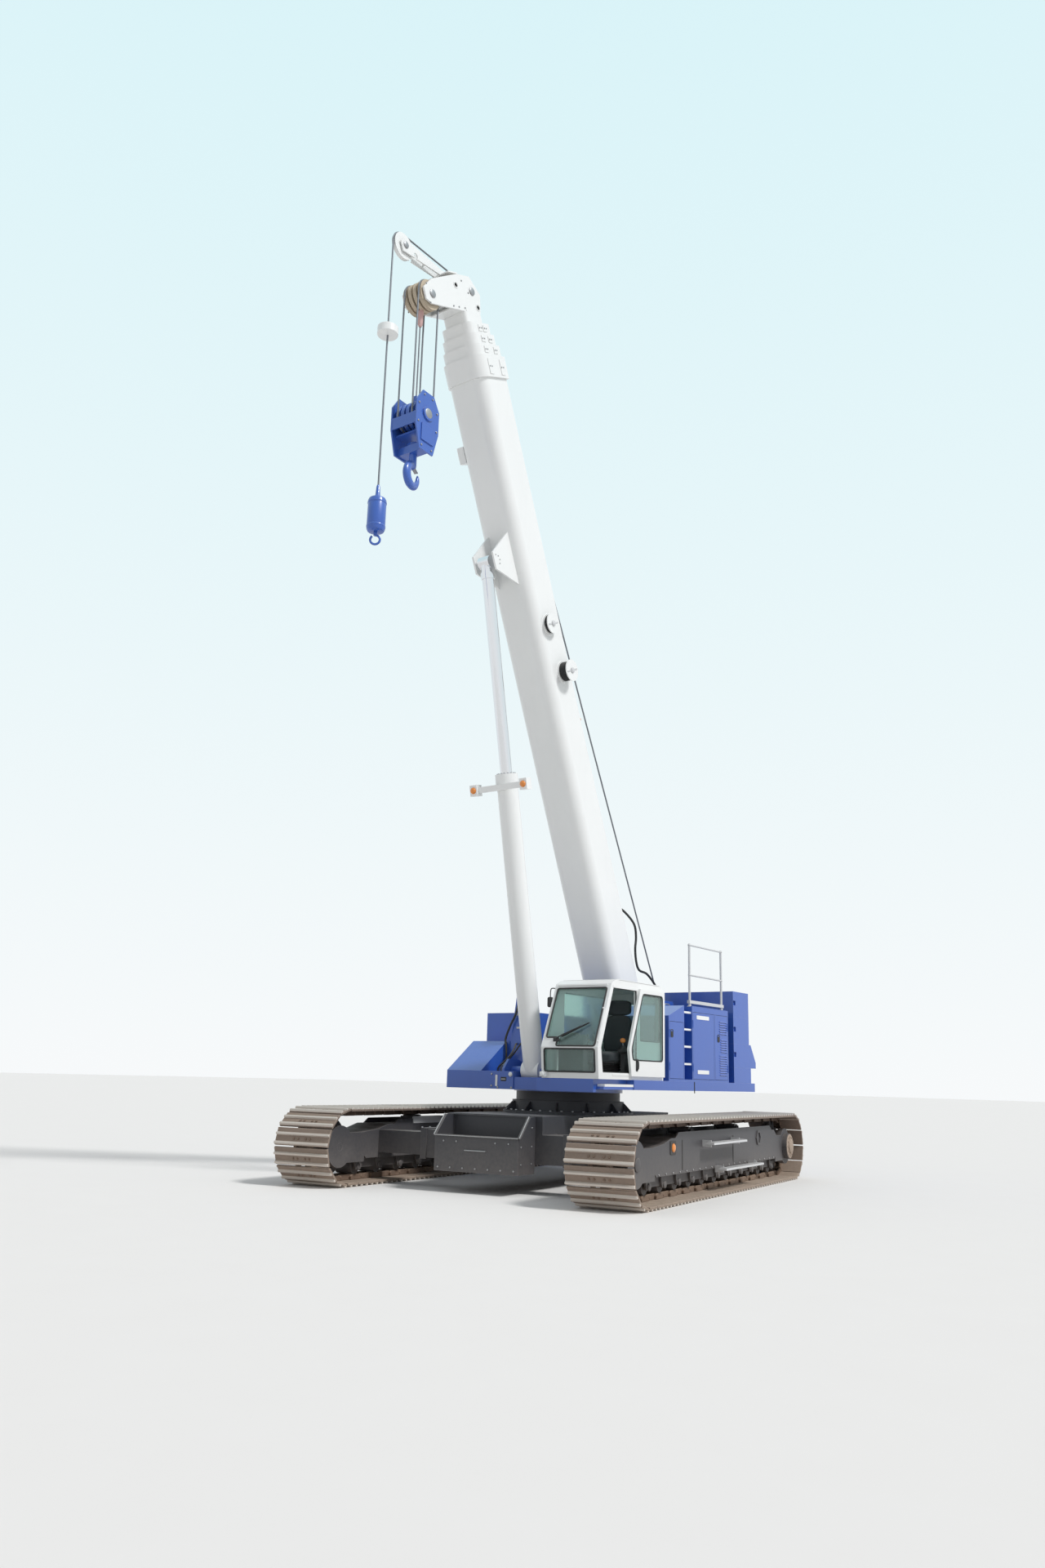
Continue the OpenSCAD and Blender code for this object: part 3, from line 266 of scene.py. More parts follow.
def swept(path: Array, profile: Array, up: Sequence[float] = (0, 0, 1), closed: bool = False) -> Shell:
    """A profile carried along a path.

    At each point the path's direction, a side vector square to it and to up, and
    their cross product make a frame; the profile's two columns go along the last two.

    Args:
        path: n x 3 points.
        profile: m x 2 points, counter-clockwise.
        up: A direction that the path never runs along.
        closed: Whether the path returns to its start.

    Returns:
        The closed shell.
    """
    path = np.asarray(path, float)
    if closed:
        ahead = np.roll(path, -1, axis=0) - np.roll(path, 1, axis=0)
    else:
        ahead = np.gradient(path, axis=0)
    ahead /= np.linalg.norm(ahead, axis=1, keepdims=True)
    side = np.cross(np.asarray(up, float), ahead)
    side /= np.linalg.norm(side, axis=1, keepdims=True)
    top = np.cross(ahead, side)
    profile = np.asarray(profile, float)
    grid = path[:, None, :] + profile[None, :, :1] * side[:, None, :]
    grid = grid + profile[None, :, 1:] * top[:, None, :]
    return flipped(woven(grid, wrap_u=closed))


def smooth_path(knots: Sequence[Sequence[float]], count: int = 24) -> Array:
    """A smooth path through knots, as a Catmull-Rom spline.

    Between knots 1 and 2 the point is half of (2 p1 + (p2 - p0) t + (2 p0 - 5 p1 + 4 p2
    - p3) t squared + (3 p1 - p0 - 3 p2 + p3) t cubed), with count steps a stretch.
    """
    k = np.asarray(knots, float)
    k = np.vstack([2 * k[0] - k[1], k, 2 * k[-1] - k[-2]])
    t = np.linspace(0, 1, count, endpoint=False)[None, :, None]
    p0, p1, p2, p3 = (k[i : len(k) - 3 + i][:, None, :] for i in range(4))
    cubic = 3 * p1 - p0 - 3 * p2 + p3
    run = 0.5 * (2 * p1 + (p2 - p0) * t + (2 * p0 - 5 * p1 + 4 * p2 - p3) * t**2 + cubic * t**3)
    return np.vstack([run.reshape(-1, 3), k[-2]])


def outward(shell: Shell) -> Shell:
    """A closed shell with its faces pointing outwards.

    The signed volume is a sixth of the sum, over the triangles fanned from each face's
    first corner, of a . (b x c). Where it is below nothing, the faces are turned over.
    """
    starts = np.cumsum(shell.sizes) - shell.sizes
    total = 0.0
    for size in np.unique(shell.sizes):
        rows = starts[shell.sizes == size]
        p = shell.points[shell.corners[rows[:, None] + np.arange(size)]]
        a, b, c = p[:, :1], p[:, 1:-1], p[:, 2:]
        total += float(np.einsum("nki,nki->", np.broadcast_to(a, b.shape), np.cross(b, c)))
    return flipped(shell) if total < 0 else shell


def sided(shell: Shell, side: int, place: Sequence[float]) -> Shell:
    """A piece drawn for the left side, mirrored across Y where side is -1, and shifted."""
    return outward(shell.moved(np.diag((1, side, 1)), place))


def tube(path: Array, radius: float, sides: int = 10) -> Shell:
    """A round tube along a path, with the side direction that the path follows least."""
    path = np.asarray(path, float)
    ahead = np.gradient(path, axis=0)
    ahead /= np.linalg.norm(ahead, axis=1, keepdims=True)
    ups = np.array([[1, 0, 0], [0, 1, 0], [0, 0, 1], [1, 1, 0], [1, 0, 1], [0, 1, 1], [1, -1, 0],
            [1, 0, -1], [0, 1, -1]], float)
    ups /= np.linalg.norm(ups, axis=1, keepdims=True)
    return swept(path, ring(radius, sides), ups[np.abs(ahead @ ups.T).max(axis=0).argmin()])


def bolts(places: Sequence[Sequence[float]], axis: Axis, radius: float = 0.016, height: float = 0.012,
        away: int = 1) -> Shell:
    """Hexagon heads at places, standing along an axis or, where away is -1, against it."""
    head = lathed([(0, 0), (radius, 0), (radius, height * 0.7), (radius * 0.8, height), (0, height)], axis,
        (0, 0, 0), 6)
    over = {Axis.X: (-1, -1, 1), Axis.Y: (1, -1, -1), Axis.Z: (1, -1, -1)}[axis]
    return head.copies(np.diag(over) if away < 0 else np.eye(3), places)


def oblong(a0: float, a1: float, b0: float, b1: float) -> list[tuple[float, float]]:
    """The four corners of a rectangle from a0 to a1 one way and b0 to b1 the other."""
    return [(a0, b0), (a1, b0), (a1, b1), (a0, b1)]


def rounded(corners: Sequence[Sequence[float]], radius: float, count: int = 5) -> Array:
    """A closed path with rounded corners.

    Between a, a radius before the corner c, and b, a radius after it, the path is
    (1 - t) squared a + 2 t (1 - t) c + t squared b.
    """
    c = np.asarray(corners, float)
    back, ahead = np.roll(c, 1, axis=0) - c, np.roll(c, -1, axis=0) - c
    a = (c + back / np.linalg.norm(back, axis=1, keepdims=True) * radius)[:, None]
    b = (c + ahead / np.linalg.norm(ahead, axis=1, keepdims=True) * radius)[:, None]
    t = np.linspace(0, 1, count)[None, :, None]
    return ((1 - t) ** 2 * a + 2 * t * (1 - t) * c[:, None] + t**2 * b).reshape(-1, c.shape[1])


def seal(corners: Sequence[Sequence[float]], normal: Sequence[float], width: float = 0.022,
        high: float = 0.016, radius: float = 0.03) -> Shell:
    """A rubber seal round a window: a crowned strip carried along the rounded outline."""
    w, h = width / 2, high / 2
    strip = [(-w, -h), (w, -h), (w, h * 0.4), (w * 0.5, h), (-w * 0.5, h), (-w, h * 0.4)]
    return swept(rounded(corners, radius), strip, normal, closed=True)


def cushion(centre: Sequence[float], half: Sequence[float], lean: float = 0.0, ribs: Sequence[float] = (),
        axis: int = 0) -> Shell:
    """A crowned pad with sewn channels.

    It is a rounded block: each of x, y and z is the half size times the signed power
    0.4 of the cosines and sines of two angles. Channels are narrow bell curves along one
    axis that press the outside in by an eighth; the pad then leans back about Y.

    Args:
        centre: Middle of the pad.
        half: Half sizes.
        lean: Angle by which it leans back.
        ribs: Places of the channels along the axis, from -1 to 1.
        axis: The axis that the channels are spread along.

    Returns:
        The closed shell.
    """
    high = np.linspace(-math.pi / 2, math.pi / 2, 41)[:, None]
    turn = (np.arange(56) * 2 * math.pi / 56)[None, :]

    def bent(value: Array, power: float = 0.4) -> Array:
        """Signed power of a cosine or sine."""
        return np.sign(value) * np.abs(value) ** power

    flat = bent(np.cos(high))
    unit = np.stack([flat * bent(np.cos(turn)), flat * bent(np.sin(turn)), bent(np.sin(high)) + 0 * turn],
        axis=2)
    press = 1.0 - 0.125 * sum(np.exp(-(((unit[..., axis] - r) / 0.05) ** 2)) for r in ribs) if ribs else 1.0
    crown = 1.0 - 0.10 * unit[..., 0] ** 2 - 0.10 * unit[..., 1] ** 2
    unit[..., 2] *= press * crown
    unit[..., 1 - min(axis, 1)] *= 0.5 + 0.5 * press
    c, s = math.cos(lean), math.sin(lean)
    matrix = np.array([[c, 0, s], [0, 1, 0], [-s, 0, c]])
    return woven(unit * np.asarray(half)).moved(matrix, centre)


def arc(centre: Sequence[float], radius: float, start: float, stop: float, count: int = 16) -> Array:
    """Points round a circle between two angles in degrees."""
    angle = np.radians(np.linspace(start, stop, count))
    return np.asarray(centre) + radius * np.stack([np.cos(angle), np.sin(angle)], axis=1)


MID_X = 0.58344


@dataclass(frozen=True)
class Bench:
    """A frame that pieces are drawn in: upper works, tracks, boom or cylinder.

    A point goes to the turn about Z times the pitch about Y times the point, plus the
    origin, less the distance from the slewing axis to the middle of the crane.
    """

    origin: tuple[float, float, float] = (0.0, 0.0, 0.0)
    pitch: float = 0.0
    yaw: float = 0.0

    def matrix(self) -> Array:
        """The bench's 3 x 3 turn."""
        c, s, k, n = math.cos(self.pitch), math.sin(self.pitch), math.cos(self.yaw), math.sin(self.yaw)
        return np.array([[k, -n, 0], [n, k, 0], [0, 0, 1]]) @ np.array([[c, 0, -s], [0, 1, 0], [s, 0, c]])

    def put(self, shell: Shell) -> Shell:
        """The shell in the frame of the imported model."""
        return shell.moved(self.matrix(), np.array(self.origin) - (MID_X, 0, 0))

    def spots(self, points: Array) -> Array:
        """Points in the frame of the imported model."""
        return np.asarray(points, float) @ self.matrix().T + np.array(self.origin) - (MID_X, 0, 0)

    def drawn(self, points: Array) -> Array:
        """Points of the upper works' frame as this bench sees them."""
        return (np.asarray(points, float) - np.array(self.origin)) @ self.matrix()


UPPER = Bench()
LOWER = Bench(yaw=math.radians(7.0))
BOOM = Bench((-1.5, 0.0, 2.42), math.radians(65.0))
CYLINDER = Bench((0.94, 0.0, 1.62), math.radians(77.85665))


def group_named(name: str, inputs: dict[str, float],
        outputs: Sequence[str]) -> tuple[bpy.types.ShaderNodeTree, Callable, dict]:
    """Starts a shader node group with named number sockets.

    Args:
        name: Name of the group.
        inputs: Name and default of each input.
        outputs: Names of the outputs.

    Returns:
        The tree, a function that adds a node, and the group's own input and output nodes.
    """
    tree = bpy.data.node_groups.new(name, "ShaderNodeTree")
    for label, value in inputs.items():
        socket = tree.interface.new_socket(label, in_out="INPUT", socket_type="NodeSocketFloat")
        socket.default_value = value
    for label in outputs:
        tree.interface.new_socket(label, in_out="OUTPUT", socket_type="NodeSocketFloat")
    ends = {"in": tree.nodes.new("NodeGroupInput"), "out": tree.nodes.new("NodeGroupOutput")}
    return tree, tree.nodes.new, ends


def maths(tree: bpy.types.NodeTree, kind: str, a: object, b: object = 0.5,
        clamp: bool = False) -> bpy.types.NodeSocket:
    """Adds a Math node; a and b are numbers or sockets."""
    node = tree.nodes.new("ShaderNodeMath")
    node.operation, node.use_clamp = kind, clamp
    for slot, value in zip(node.inputs, (a, b)):
        if isinstance(value, (int, float)):
            slot.default_value = value
        else:
            tree.links.new(value, slot)
    return node.outputs[0]


def noise(tree: bpy.types.NodeTree, vector: bpy.types.NodeSocket, scale: object,
        detail: float = 4.0) -> bpy.types.NodeSocket:
    """Adds a Noise Texture on the given coordinates and returns its factor."""
    node = tree.nodes.new("ShaderNodeTexNoise")
    node.inputs["Detail"].default_value = detail
    tree.links.new(vector, node.inputs["Vector"])
    if isinstance(scale, (int, float)):
        node.inputs["Scale"].default_value = scale
    else:
        tree.links.new(scale, node.inputs["Scale"])
    return node.outputs["Fac"]


def coordinates(tree: bpy.types.NodeTree) -> bpy.types.NodeSocket:
    """Object coordinates, in metres."""
    return tree.nodes.new("ShaderNodeTexCoord").outputs["Object"]


def weathering_group() -> bpy.types.NodeTree:
    """Builds the dust, edge wear and painted edge highlight group: masks that change over the surface.

    Dust is high on faces that look up and low over the ground, broken up by noise.
    Streaks are noise stretched along Z. Cloud is wide, slow noise. Edge is one less the
    dot product of the rounded and the plain normal, broken up by the noises.
    """
    tree, _, ends = group_named(
        "weathering",
        {"Dust": 0.3, "Ground Height": 1.2, "Streaks": 0.2, "Grain Scale": 400.0},
        ["Dust Mask", "Streak Mask", "Cloud", "Grain", "Edge Wear And Highlight Mask"],
    )
    given, out = ends["in"].outputs, ends["out"].inputs
    place = coordinates(tree)
    cloud = noise(tree, place, 1.7, 5.0)
    fine = noise(tree, place, 23.0, 6.0)
    split = tree.nodes.new("ShaderNodeSeparateXYZ")
    tree.links.new(place, split.inputs[0])
    normal = tree.nodes.new("ShaderNodeNewGeometry")
    facing = tree.nodes.new("ShaderNodeSeparateXYZ")
    tree.links.new(normal.outputs["True Normal"], facing.inputs[0])
    upward = maths(tree, "MULTIPLY", maths(tree, "MAXIMUM", facing.outputs["Z"], 0.0), 0.6)
    near = maths(tree, "SUBTRACT", 1.0, maths(tree, "DIVIDE", split.outputs["Z"], given["Ground Height"]),
        True)
    base = maths(tree, "ADD", maths(tree, "MULTIPLY", near, 0.9), upward)
    broken = maths(tree, "MULTIPLY", base, maths(tree, "ADD", fine, cloud))
    tree.links.new(maths(tree, "MULTIPLY", broken, given["Dust"], True), out["Dust Mask"])
    stretch = tree.nodes.new("ShaderNodeMapping")
    stretch.inputs["Scale"].default_value = (9.0, 9.0, 0.5)
    tree.links.new(place, stretch.inputs["Vector"])
    run = noise(tree, stretch.outputs[0], 1.0, 3.0)
    sharp = maths(tree, "MULTIPLY", maths(tree, "SUBTRACT", run, 0.52), 3.0, True)
    tree.links.new(maths(tree, "MULTIPLY", sharp, given["Streaks"]), out["Streak Mask"])
    tree.links.new(cloud, out["Cloud"])
    tree.links.new(noise(tree, place, given["Grain Scale"], 2.0), out["Grain"])
    # Edge mask: finishes lighten their edges with it, partly as wear and partly as a painted highlight.
    soft = tree.nodes.new("ShaderNodeBevel")
    soft.samples = 4
    soft.inputs["Radius"].default_value = 0.010
    dot = tree.nodes.new("ShaderNodeVectorMath")
    dot.operation = "DOT_PRODUCT"
    tree.links.new(soft.outputs["Normal"], dot.inputs[0])
    tree.links.new(normal.outputs["Normal"], dot.inputs[1])
    rim = maths(tree, "MULTIPLY", maths(tree, "SUBTRACT", 1.0, dot.outputs["Value"], True), 7.0, True)
    patchy = maths(tree, "MULTIPLY", maths(tree, "ADD", fine, cloud), 0.8)
    tree.links.new(maths(tree, "MULTIPLY", rim, patchy, True), out["Edge Wear And Highlight Mask"])
    return tree


@dataclass(frozen=True)
class Finish:
    """A procedural finish with dust, streaks and grain.

    shade is the clean colour, worn its darker or lighter variation and dirt the
    colour of what lies on it; bevel is the radius that softens hard edges.
    """

    name: str
    shade: tuple[float, float, float]
    worn: tuple[float, float, float]
    dirt: tuple[float, float, float] = (0.62, 0.50, 0.38)
    roughness: float = 0.35
    metallic: float = 0.0
    coat: float = 0.0
    dust: float = 0.25
    ground: float = 1.2
    streaks: float = 0.15
    grain: float = 350.0
    bump: float = 0.15
    bevel: float = 0.004
    vary: float = 0.35
    # edge: colour mixed in along edges; worn steel on the shoes, on the paints partly wear, partly a
    # painted highlight.
    edge: tuple[float, float, float] = (0.5, 0.5, 0.5)
    edge_wear_and_highlight: float = 0.0
    glass: float = 0.0
    alpha: float = 1.0

    def build(self) -> bpy.types.Material:
        """Makes the material once and returns it after that.

        Returns:
            The material, with its Principled shader outside every group.
        """
        known = bpy.data.materials.get(self.name)
        if known is not None:
            return known
        material = bpy.data.materials.new(self.name)
        material.use_nodes = True
        tree = material.node_tree
        shader = tree.nodes["Principled BSDF"]
        shader.inputs["Metallic"].default_value = self.metallic
        shader.inputs["Coat Weight"].default_value = self.coat
        shader.inputs["Coat Roughness"].default_value = 0.12
        effects = tree.nodes.new("ShaderNodeGroup")
        effects.node_tree = bpy.data.node_groups.get("weathering") or weathering_group()
        effects.inputs["Dust"].default_value = self.dust
        effects.inputs["Ground Height"].default_value = self.ground
        effects.inputs["Streaks"].default_value = self.streaks
        effects.inputs["Grain Scale"].default_value = self.grain
        cloud = maths(tree, "MULTIPLY", effects.outputs["Cloud"], self.vary)
        first = self.mix(tree, cloud, self.shade, self.worn)
        second = self.mix(tree, effects.outputs["Streak Mask"], first, self.worn)
        # Edges take the edge colour: partly wear, partly a painted edge highlight.
        if self.edge_wear_and_highlight:
            second = self.mix(tree, maths(tree, "MULTIPLY", effects.outputs["Edge Wear And Highlight Mask"], self.edge_wear_and_highlight),
                second, self.edge)
        third = self.mix(tree, effects.outputs["Dust Mask"], second, self.dirt)
        tree.links.new(third, shader.inputs["Base Color"])
        rough = maths(tree, "ADD", maths(tree, "MULTIPLY", effects.outputs["Dust Mask"], 0.5),
            self.roughness)
        rough = maths(tree, "ADD", rough, maths(tree, "MULTIPLY", effects.outputs["Cloud"], 0.1), True)
        tree.links.new(rough, shader.inputs["Roughness"])
        bump = tree.nodes.new("ShaderNodeBump")
        bump.inputs["Strength"].default_value = self.bump
        bump.inputs["Distance"].default_value = 0.001
        tree.links.new(effects.outputs["Grain"], bump.inputs["Height"])
        if self.bevel > 0:
            soft = tree.nodes.new("ShaderNodeBevel")
            soft.samples = 4
            soft.inputs["Radius"].default_value = self.bevel
            tree.links.new(soft.outputs["Normal"], bump.inputs["Normal"])
        tree.links.new(bump.outputs["Normal"], shader.inputs["Normal"])
        if self.glass:
            shader.inputs["Transmission Weight"].default_value = self.glass
            shader.inputs["IOR"].default_value = 1.45
        shader.inputs["Alpha"].default_value = self.alpha
        return material

    @staticmethod
    def mix(tree: bpy.types.NodeTree, factor: bpy.types.NodeSocket, a: object,
            b: object) -> bpy.types.NodeSocket:
        """Mixes two colours or colour sockets by a factor socket."""
        node = tree.nodes.new("ShaderNodeMix")
        node.data_type = "RGBA"
        tree.links.new(factor, node.inputs["Factor"])
        for label, value in (("A", a), ("B", b)):
            socket = next(s for s in node.inputs if s.name == label and s.type == "RGBA")
            if isinstance(value, tuple):
                socket.default_value = (*value, 1.0)
            else:
                tree.links.new(value, socket)
        return next(s for s in node.outputs if s.type == "RGBA")


WHITE = Finish("white_paint", (0.84, 0.85, 0.84), (0.72, 0.73, 0.72), roughness=0.3, coat=0.5, dust=0.12,
    bevel=0.0)
# BLUE and DARK take lighter edge colours: partly edge wear, partly a painted edge highlight.
BLUE = Finish("royal_blue_paint", (0.030, 0.100, 0.43), (0.045, 0.140, 0.54), dirt=(0.45, 0.52, 0.64),
    roughness=0.32, coat=0.5, dust=0.18, ground=0.6, edge=(0.16, 0.24, 0.60), edge_wear_and_highlight=0.5)
DARK = Finish("near_black_paint", (0.030, 0.032, 0.040), (0.055, 0.056, 0.064), dirt=(0.36, 0.31, 0.27),
    roughness=0.42, dust=0.34, ground=1.0, edge=(0.20, 0.19, 0.19), edge_wear_and_highlight=0.6)
# Shoe plates: dusty steel, darkened past their own colour as painted shade for the gaps between the grouser
# bars.
SHOES = Finish("dusty_shoe_steel_painted_shade", (0.22, 0.165, 0.135), (0.14, 0.105, 0.088), dirt=(0.50, 0.39, 0.30),
    roughness=0.6, metallic=0.3, dust=0.45, bump=0.5, grain=120.0, vary=0.8, edge=(0.60, 0.55, 0.50),
    edge_wear_and_highlight=0.5)
GROUSER = Finish("worn_bar_steel", (0.66, 0.61, 0.56), (0.44, 0.38, 0.33), dirt=(0.62, 0.52, 0.43),
    roughness=0.42, metallic=0.35, dust=0.3, bump=0.5, grain=120.0, vary=0.8)
# A lighter copy of the royal blue: a painted highlight for the sunlit louvre lips.
PAINTED_LIT_BLUE = Finish("painted_sunlit_blue", (0.16, 0.25, 0.66), (0.20, 0.30, 0.70), dust=0.1, bevel=0.0)
DRIVE = Finish("dusty_drive", (0.30, 0.235, 0.185), (0.19, 0.15, 0.12), dirt=(0.52, 0.41, 0.32),
    roughness=0.7, dust=0.5, bump=0.4)
STEEL = Finish("machined_steel", (0.36, 0.36, 0.37), (0.25, 0.25, 0.26), roughness=0.38, metallic=0.8,
    dust=0.1)
CHROME = Finish("hard_chrome", (0.80, 0.81, 0.83), (0.70, 0.71, 0.74), roughness=0.08, metallic=1.0,
    dust=0.0, streaks=0.05, bump=0.02, bevel=0.0)
GREY = Finish("light_grey_paint", (0.60, 0.61, 0.62), (0.50, 0.51, 0.52), roughness=0.4, dust=0.15)
GLASS = Finish("tinted_glass", (0.62, 0.80, 0.76), (0.58, 0.76, 0.72), roughness=0.02, dust=0.02, bump=0.0,
    bevel=0.0, glass=0.9, alpha=1.0)
TRIM = Finish("dark_trim", (0.028, 0.028, 0.030), (0.05, 0.05, 0.052), roughness=0.6, dust=0.08, bump=0.5,
    grain=700.0)
ROPE = Finish("wire_rope", (0.16, 0.17, 0.19), (0.30, 0.31, 0.33), roughness=0.45, metallic=0.5, dust=0.0,
    bump=0.6, grain=260.0, bevel=0.0)
SHEAVE = Finish("cast_nylon", (0.52, 0.44, 0.33), (0.42, 0.35, 0.26), roughness=0.5, dust=0.1)
AMBER = Finish("amber_lens", (0.80, 0.26, 0.03), (0.62, 0.17, 0.02), roughness=0.15, coat=0.6, dust=0.05,
    bump=0.05, bevel=0.0)
LENS = Finish("clear_lens", (0.86, 0.87, 0.86), (0.74, 0.76, 0.77), roughness=0.12, coat=0.6, dust=0.05,
    bump=0.05, bevel=0.0)
TAPE = Finish("yellow_tape", (0.78, 0.66, 0.07), (0.62, 0.50, 0.06), roughness=0.5, dust=0.2, bevel=0.0)
RUBBER = Finish("black_rubber", (0.020, 0.021, 0.022), (0.045, 0.045, 0.046), roughness=0.62, dust=0.12,
    bump=0.4, grain=500.0, bevel=0.0)
FABRIC = Finish("seat_fabric", (0.045, 0.052, 0.058), (0.075, 0.085, 0.092), roughness=0.85, dust=0.05,
    bump=0.9, grain=900.0, bevel=0.0, vary=0.6)
# Light steel for thin strips that stand for painted highlights on the tray's flanges.
PAINTED_HIGHLIGHT_STEEL = Finish("painted_edge_highlight", (0.56, 0.57, 0.58), (0.38, 0.38, 0.39), roughness=0.42, metallic=0.5,
    dust=0.2, bump=0.3)
LINKS = Finish("oiled_links", (0.13, 0.085, 0.065), (0.07, 0.05, 0.042), dirt=(0.50, 0.36, 0.26),
    roughness=0.5, metallic=0.5, dust=0.45, bump=0.5, grain=140.0, vary=0.8)
BLUSH = Finish("rope_socket", (0.62, 0.40, 0.38), (0.50, 0.33, 0.32), roughness=0.5, dust=0.1)
FINISHES = {
    Slot.WHITE: WHITE, Slot.BLUE: BLUE, Slot.DARK: DARK, Slot.SHOES: SHOES, Slot.STEEL: STEEL,
    Slot.CHROME: CHROME, Slot.GREY: GREY, Slot.GLASS: GLASS, Slot.TRIM: TRIM, Slot.ROPE: ROPE,
    Slot.SHEAVE: SHEAVE,
}


@dataclass
class Studio:
    """Camera, floor and light, taken from the photograph's viewpoint."""

    place: tuple[float, float, float] = (15.24656, 10.20, 1.50)
    ahead: tuple[float, float, float] = (-0.7913, -0.5611, 0.2428)
    roll: float = math.radians(1.55)
    lens: float = 27.0
    floor_size: float = 400.0
    sensor: float = 36.0
    far: float = 600.0
    key_power: float = 2.3
    key_spread: float = math.radians(10)
    key_from: tuple[float, float, float] = (-0.05, 0.66, 0.75)
    world_power: float = 0.56
    world_colour: tuple[float, float, float, float] = (0.86, 0.90, 0.95, 1)
    horizon: tuple[float, float, float, float] = (0.93, 0.95, 0.96, 1)
    zenith: tuple[float, float, float, float] = (0.70, 0.90, 0.94, 1)

    def camera(self) -> None:
        """Sets the camera: forward, right and up turned by the roll make its axes."""
        ahead = Vector(self.ahead).normalized()
        right = ahead.cross(Vector((0, 0, 1))).normalized()
        up = right.cross(ahead)
        c, s = math.cos(self.roll), math.sin(self.roll)
        side, top = right * c + up * s, up * c - right * s
        data = bpy.data.cameras.new("photo_camera")
        data.lens, data.sensor_width, data.clip_end = self.lens, self.sensor, self.far
        camera = bpy.data.objects.new("photo_camera", data)
        bpy.context.scene.collection.objects.link(camera)
        turn = Matrix((side, top, -ahead)).transposed().to_4x4()
        camera.matrix_world = Matrix.Translation(self.place) @ turn
        bpy.context.scene.camera = camera

    def floor(self) -> None:
        """Lays a wide pale floor with a little grain in its colour."""
        half = self.floor_size / 2
        grid = np.array([[[-half, -half, 0], [half, -half, 0]], [[-half, half, 0], [half, half, 0]]], float)
        shell = flipped(woven(grid, wrap_v=False, caps=False))
        obj = to_object(shell, "floor")
        material = Finish("pale_floor", (0.80, 0.785, 0.76), (0.76, 0.74, 0.71), roughness=0.9, dust=0.0,
            streaks=0.0, bump=0.1, grain=60.0, bevel=0.0).build()
        obj.data.materials.append(material)

    def lights(self) -> None:
        """Adds a large soft key light and an even world.

        What the camera, mirrors and glass see of the world is a pale sky that goes
        from near white at the horizon to a pale blue; what lights the object is plain grey.
        """
        sun = bpy.data.lights.new("key", "SUN")
        sun.energy, sun.angle = self.key_power, self.key_spread
        key = bpy.data.objects.new("key", sun)
        key.matrix_world = Vector(self.key_from).to_track_quat("Z", "Y").to_matrix().to_4x4()
        bpy.context.scene.collection.objects.link(key)
        world = bpy.data.worlds.new("studio_world")
        bpy.context.scene.world = world
        world.use_nodes = True
        tree = world.node_tree
        tree.nodes.clear()
        place = tree.nodes.new("ShaderNodeTexCoord")
        split = tree.nodes.new("ShaderNodeSeparateXYZ")
        tree.links.new(place.outputs["Generated"], split.inputs[0])
        ramp = tree.nodes.new("ShaderNodeValToRGB")
        ramp.color_ramp.elements[0].position, ramp.color_ramp.elements[1].position = 0.0, 0.75
        ramp.color_ramp.elements[0].color = self.horizon
        ramp.color_ramp.elements[1].color = self.zenith
        tree.links.new(split.outputs["Z"], ramp.inputs[0])
        plain = tree.nodes.new("ShaderNodeBackground")
        plain.inputs["Color"].default_value = self.world_colour
        plain.inputs["Strength"].default_value = self.world_power
        seen = tree.nodes.new("ShaderNodeBackground")
        tree.links.new(ramp.outputs[0], seen.inputs["Color"])
        rays = tree.nodes.new("ShaderNodeLightPath")
        some = maths(tree, "ADD", rays.outputs["Is Camera Ray"], rays.outputs["Is Transmission Ray"], True)
        some = maths(tree, "ADD", some, rays.outputs["Is Glossy Ray"], True)
        blend = tree.nodes.new("ShaderNodeMixShader")
        tree.links.new(some, blend.inputs[0])
        tree.links.new(plain.outputs[0], blend.inputs[1])
        tree.links.new(seen.outputs[0], blend.inputs[2])
        out = tree.nodes.new("ShaderNodeOutputWorld")
        tree.links.new(blend.outputs[0], out.inputs[0])
        bpy.context.scene.view_settings.view_transform = "Standard"

    def build(self) -> None:
        """Makes the camera first, then the floor and the light."""
        self.camera()
        self.floor()
        self.lights()


def to_object(shell: Shell, name: str, angle: float = 35.0) -> bpy.types.Object:
    """Turns a shell into a mesh object at the origin, smooth except over sharp edges.

    Args:
        shell: The finished shell.
        name: Name of the object.
        angle: Faces that meet at more than this many degrees keep a hard edge.

    Returns:
        The new object.
    """
    mesh = bpy.data.meshes.new(name)
    mesh.vertices.add(len(shell.points))
    mesh.vertices.foreach_set("co", shell.points.astype(np.float32).reshape(-1))
    mesh.loops.add(len(shell.corners))
    mesh.loops.foreach_set("vertex_index", shell.corners.astype(np.int32))
    mesh.polygons.add(len(shell.sizes))
    starts = np.concatenate([[0], np.cumsum(shell.sizes)[:-1]]).astype(np.int32)
    mesh.polygons.foreach_set("loop_start", starts)
    mesh.polygons.foreach_set("loop_total", shell.sizes.astype(np.int32))
    mesh.update(calc_edges=True)
    mesh.validate()
    mesh.shade_smooth()
    mesh.set_sharp_from_angle(angle=math.radians(angle))
    obj = bpy.data.objects.new(name, mesh)
    bpy.context.scene.collection.objects.link(obj)
    return obj


def piece(shell: Shell, name: str, finish: Finish, body: str,
        replaces: Sequence[str] = ()) -> bpy.types.Object:
    """Makes one finished piece that rides on a body, or on none yet where body is empty.

    Args:
        shell: The piece's mesh.
        name: Name of the object.
        finish: Its finish.
        body: The CAD body that carries it.
        replaces: CAD nodes that it stands for.

    Returns:
        The new object.
    """
    obj = to_object(shell, name)
    obj.data.materials.append(finish.build())
    if body:
        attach(obj, body)
    if replaces:
        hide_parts(*replaces)
    LOG.info("piece %s: %d points, %d faces, on %s", name, len(shell.points), len(shell.sizes), body)
    return obj


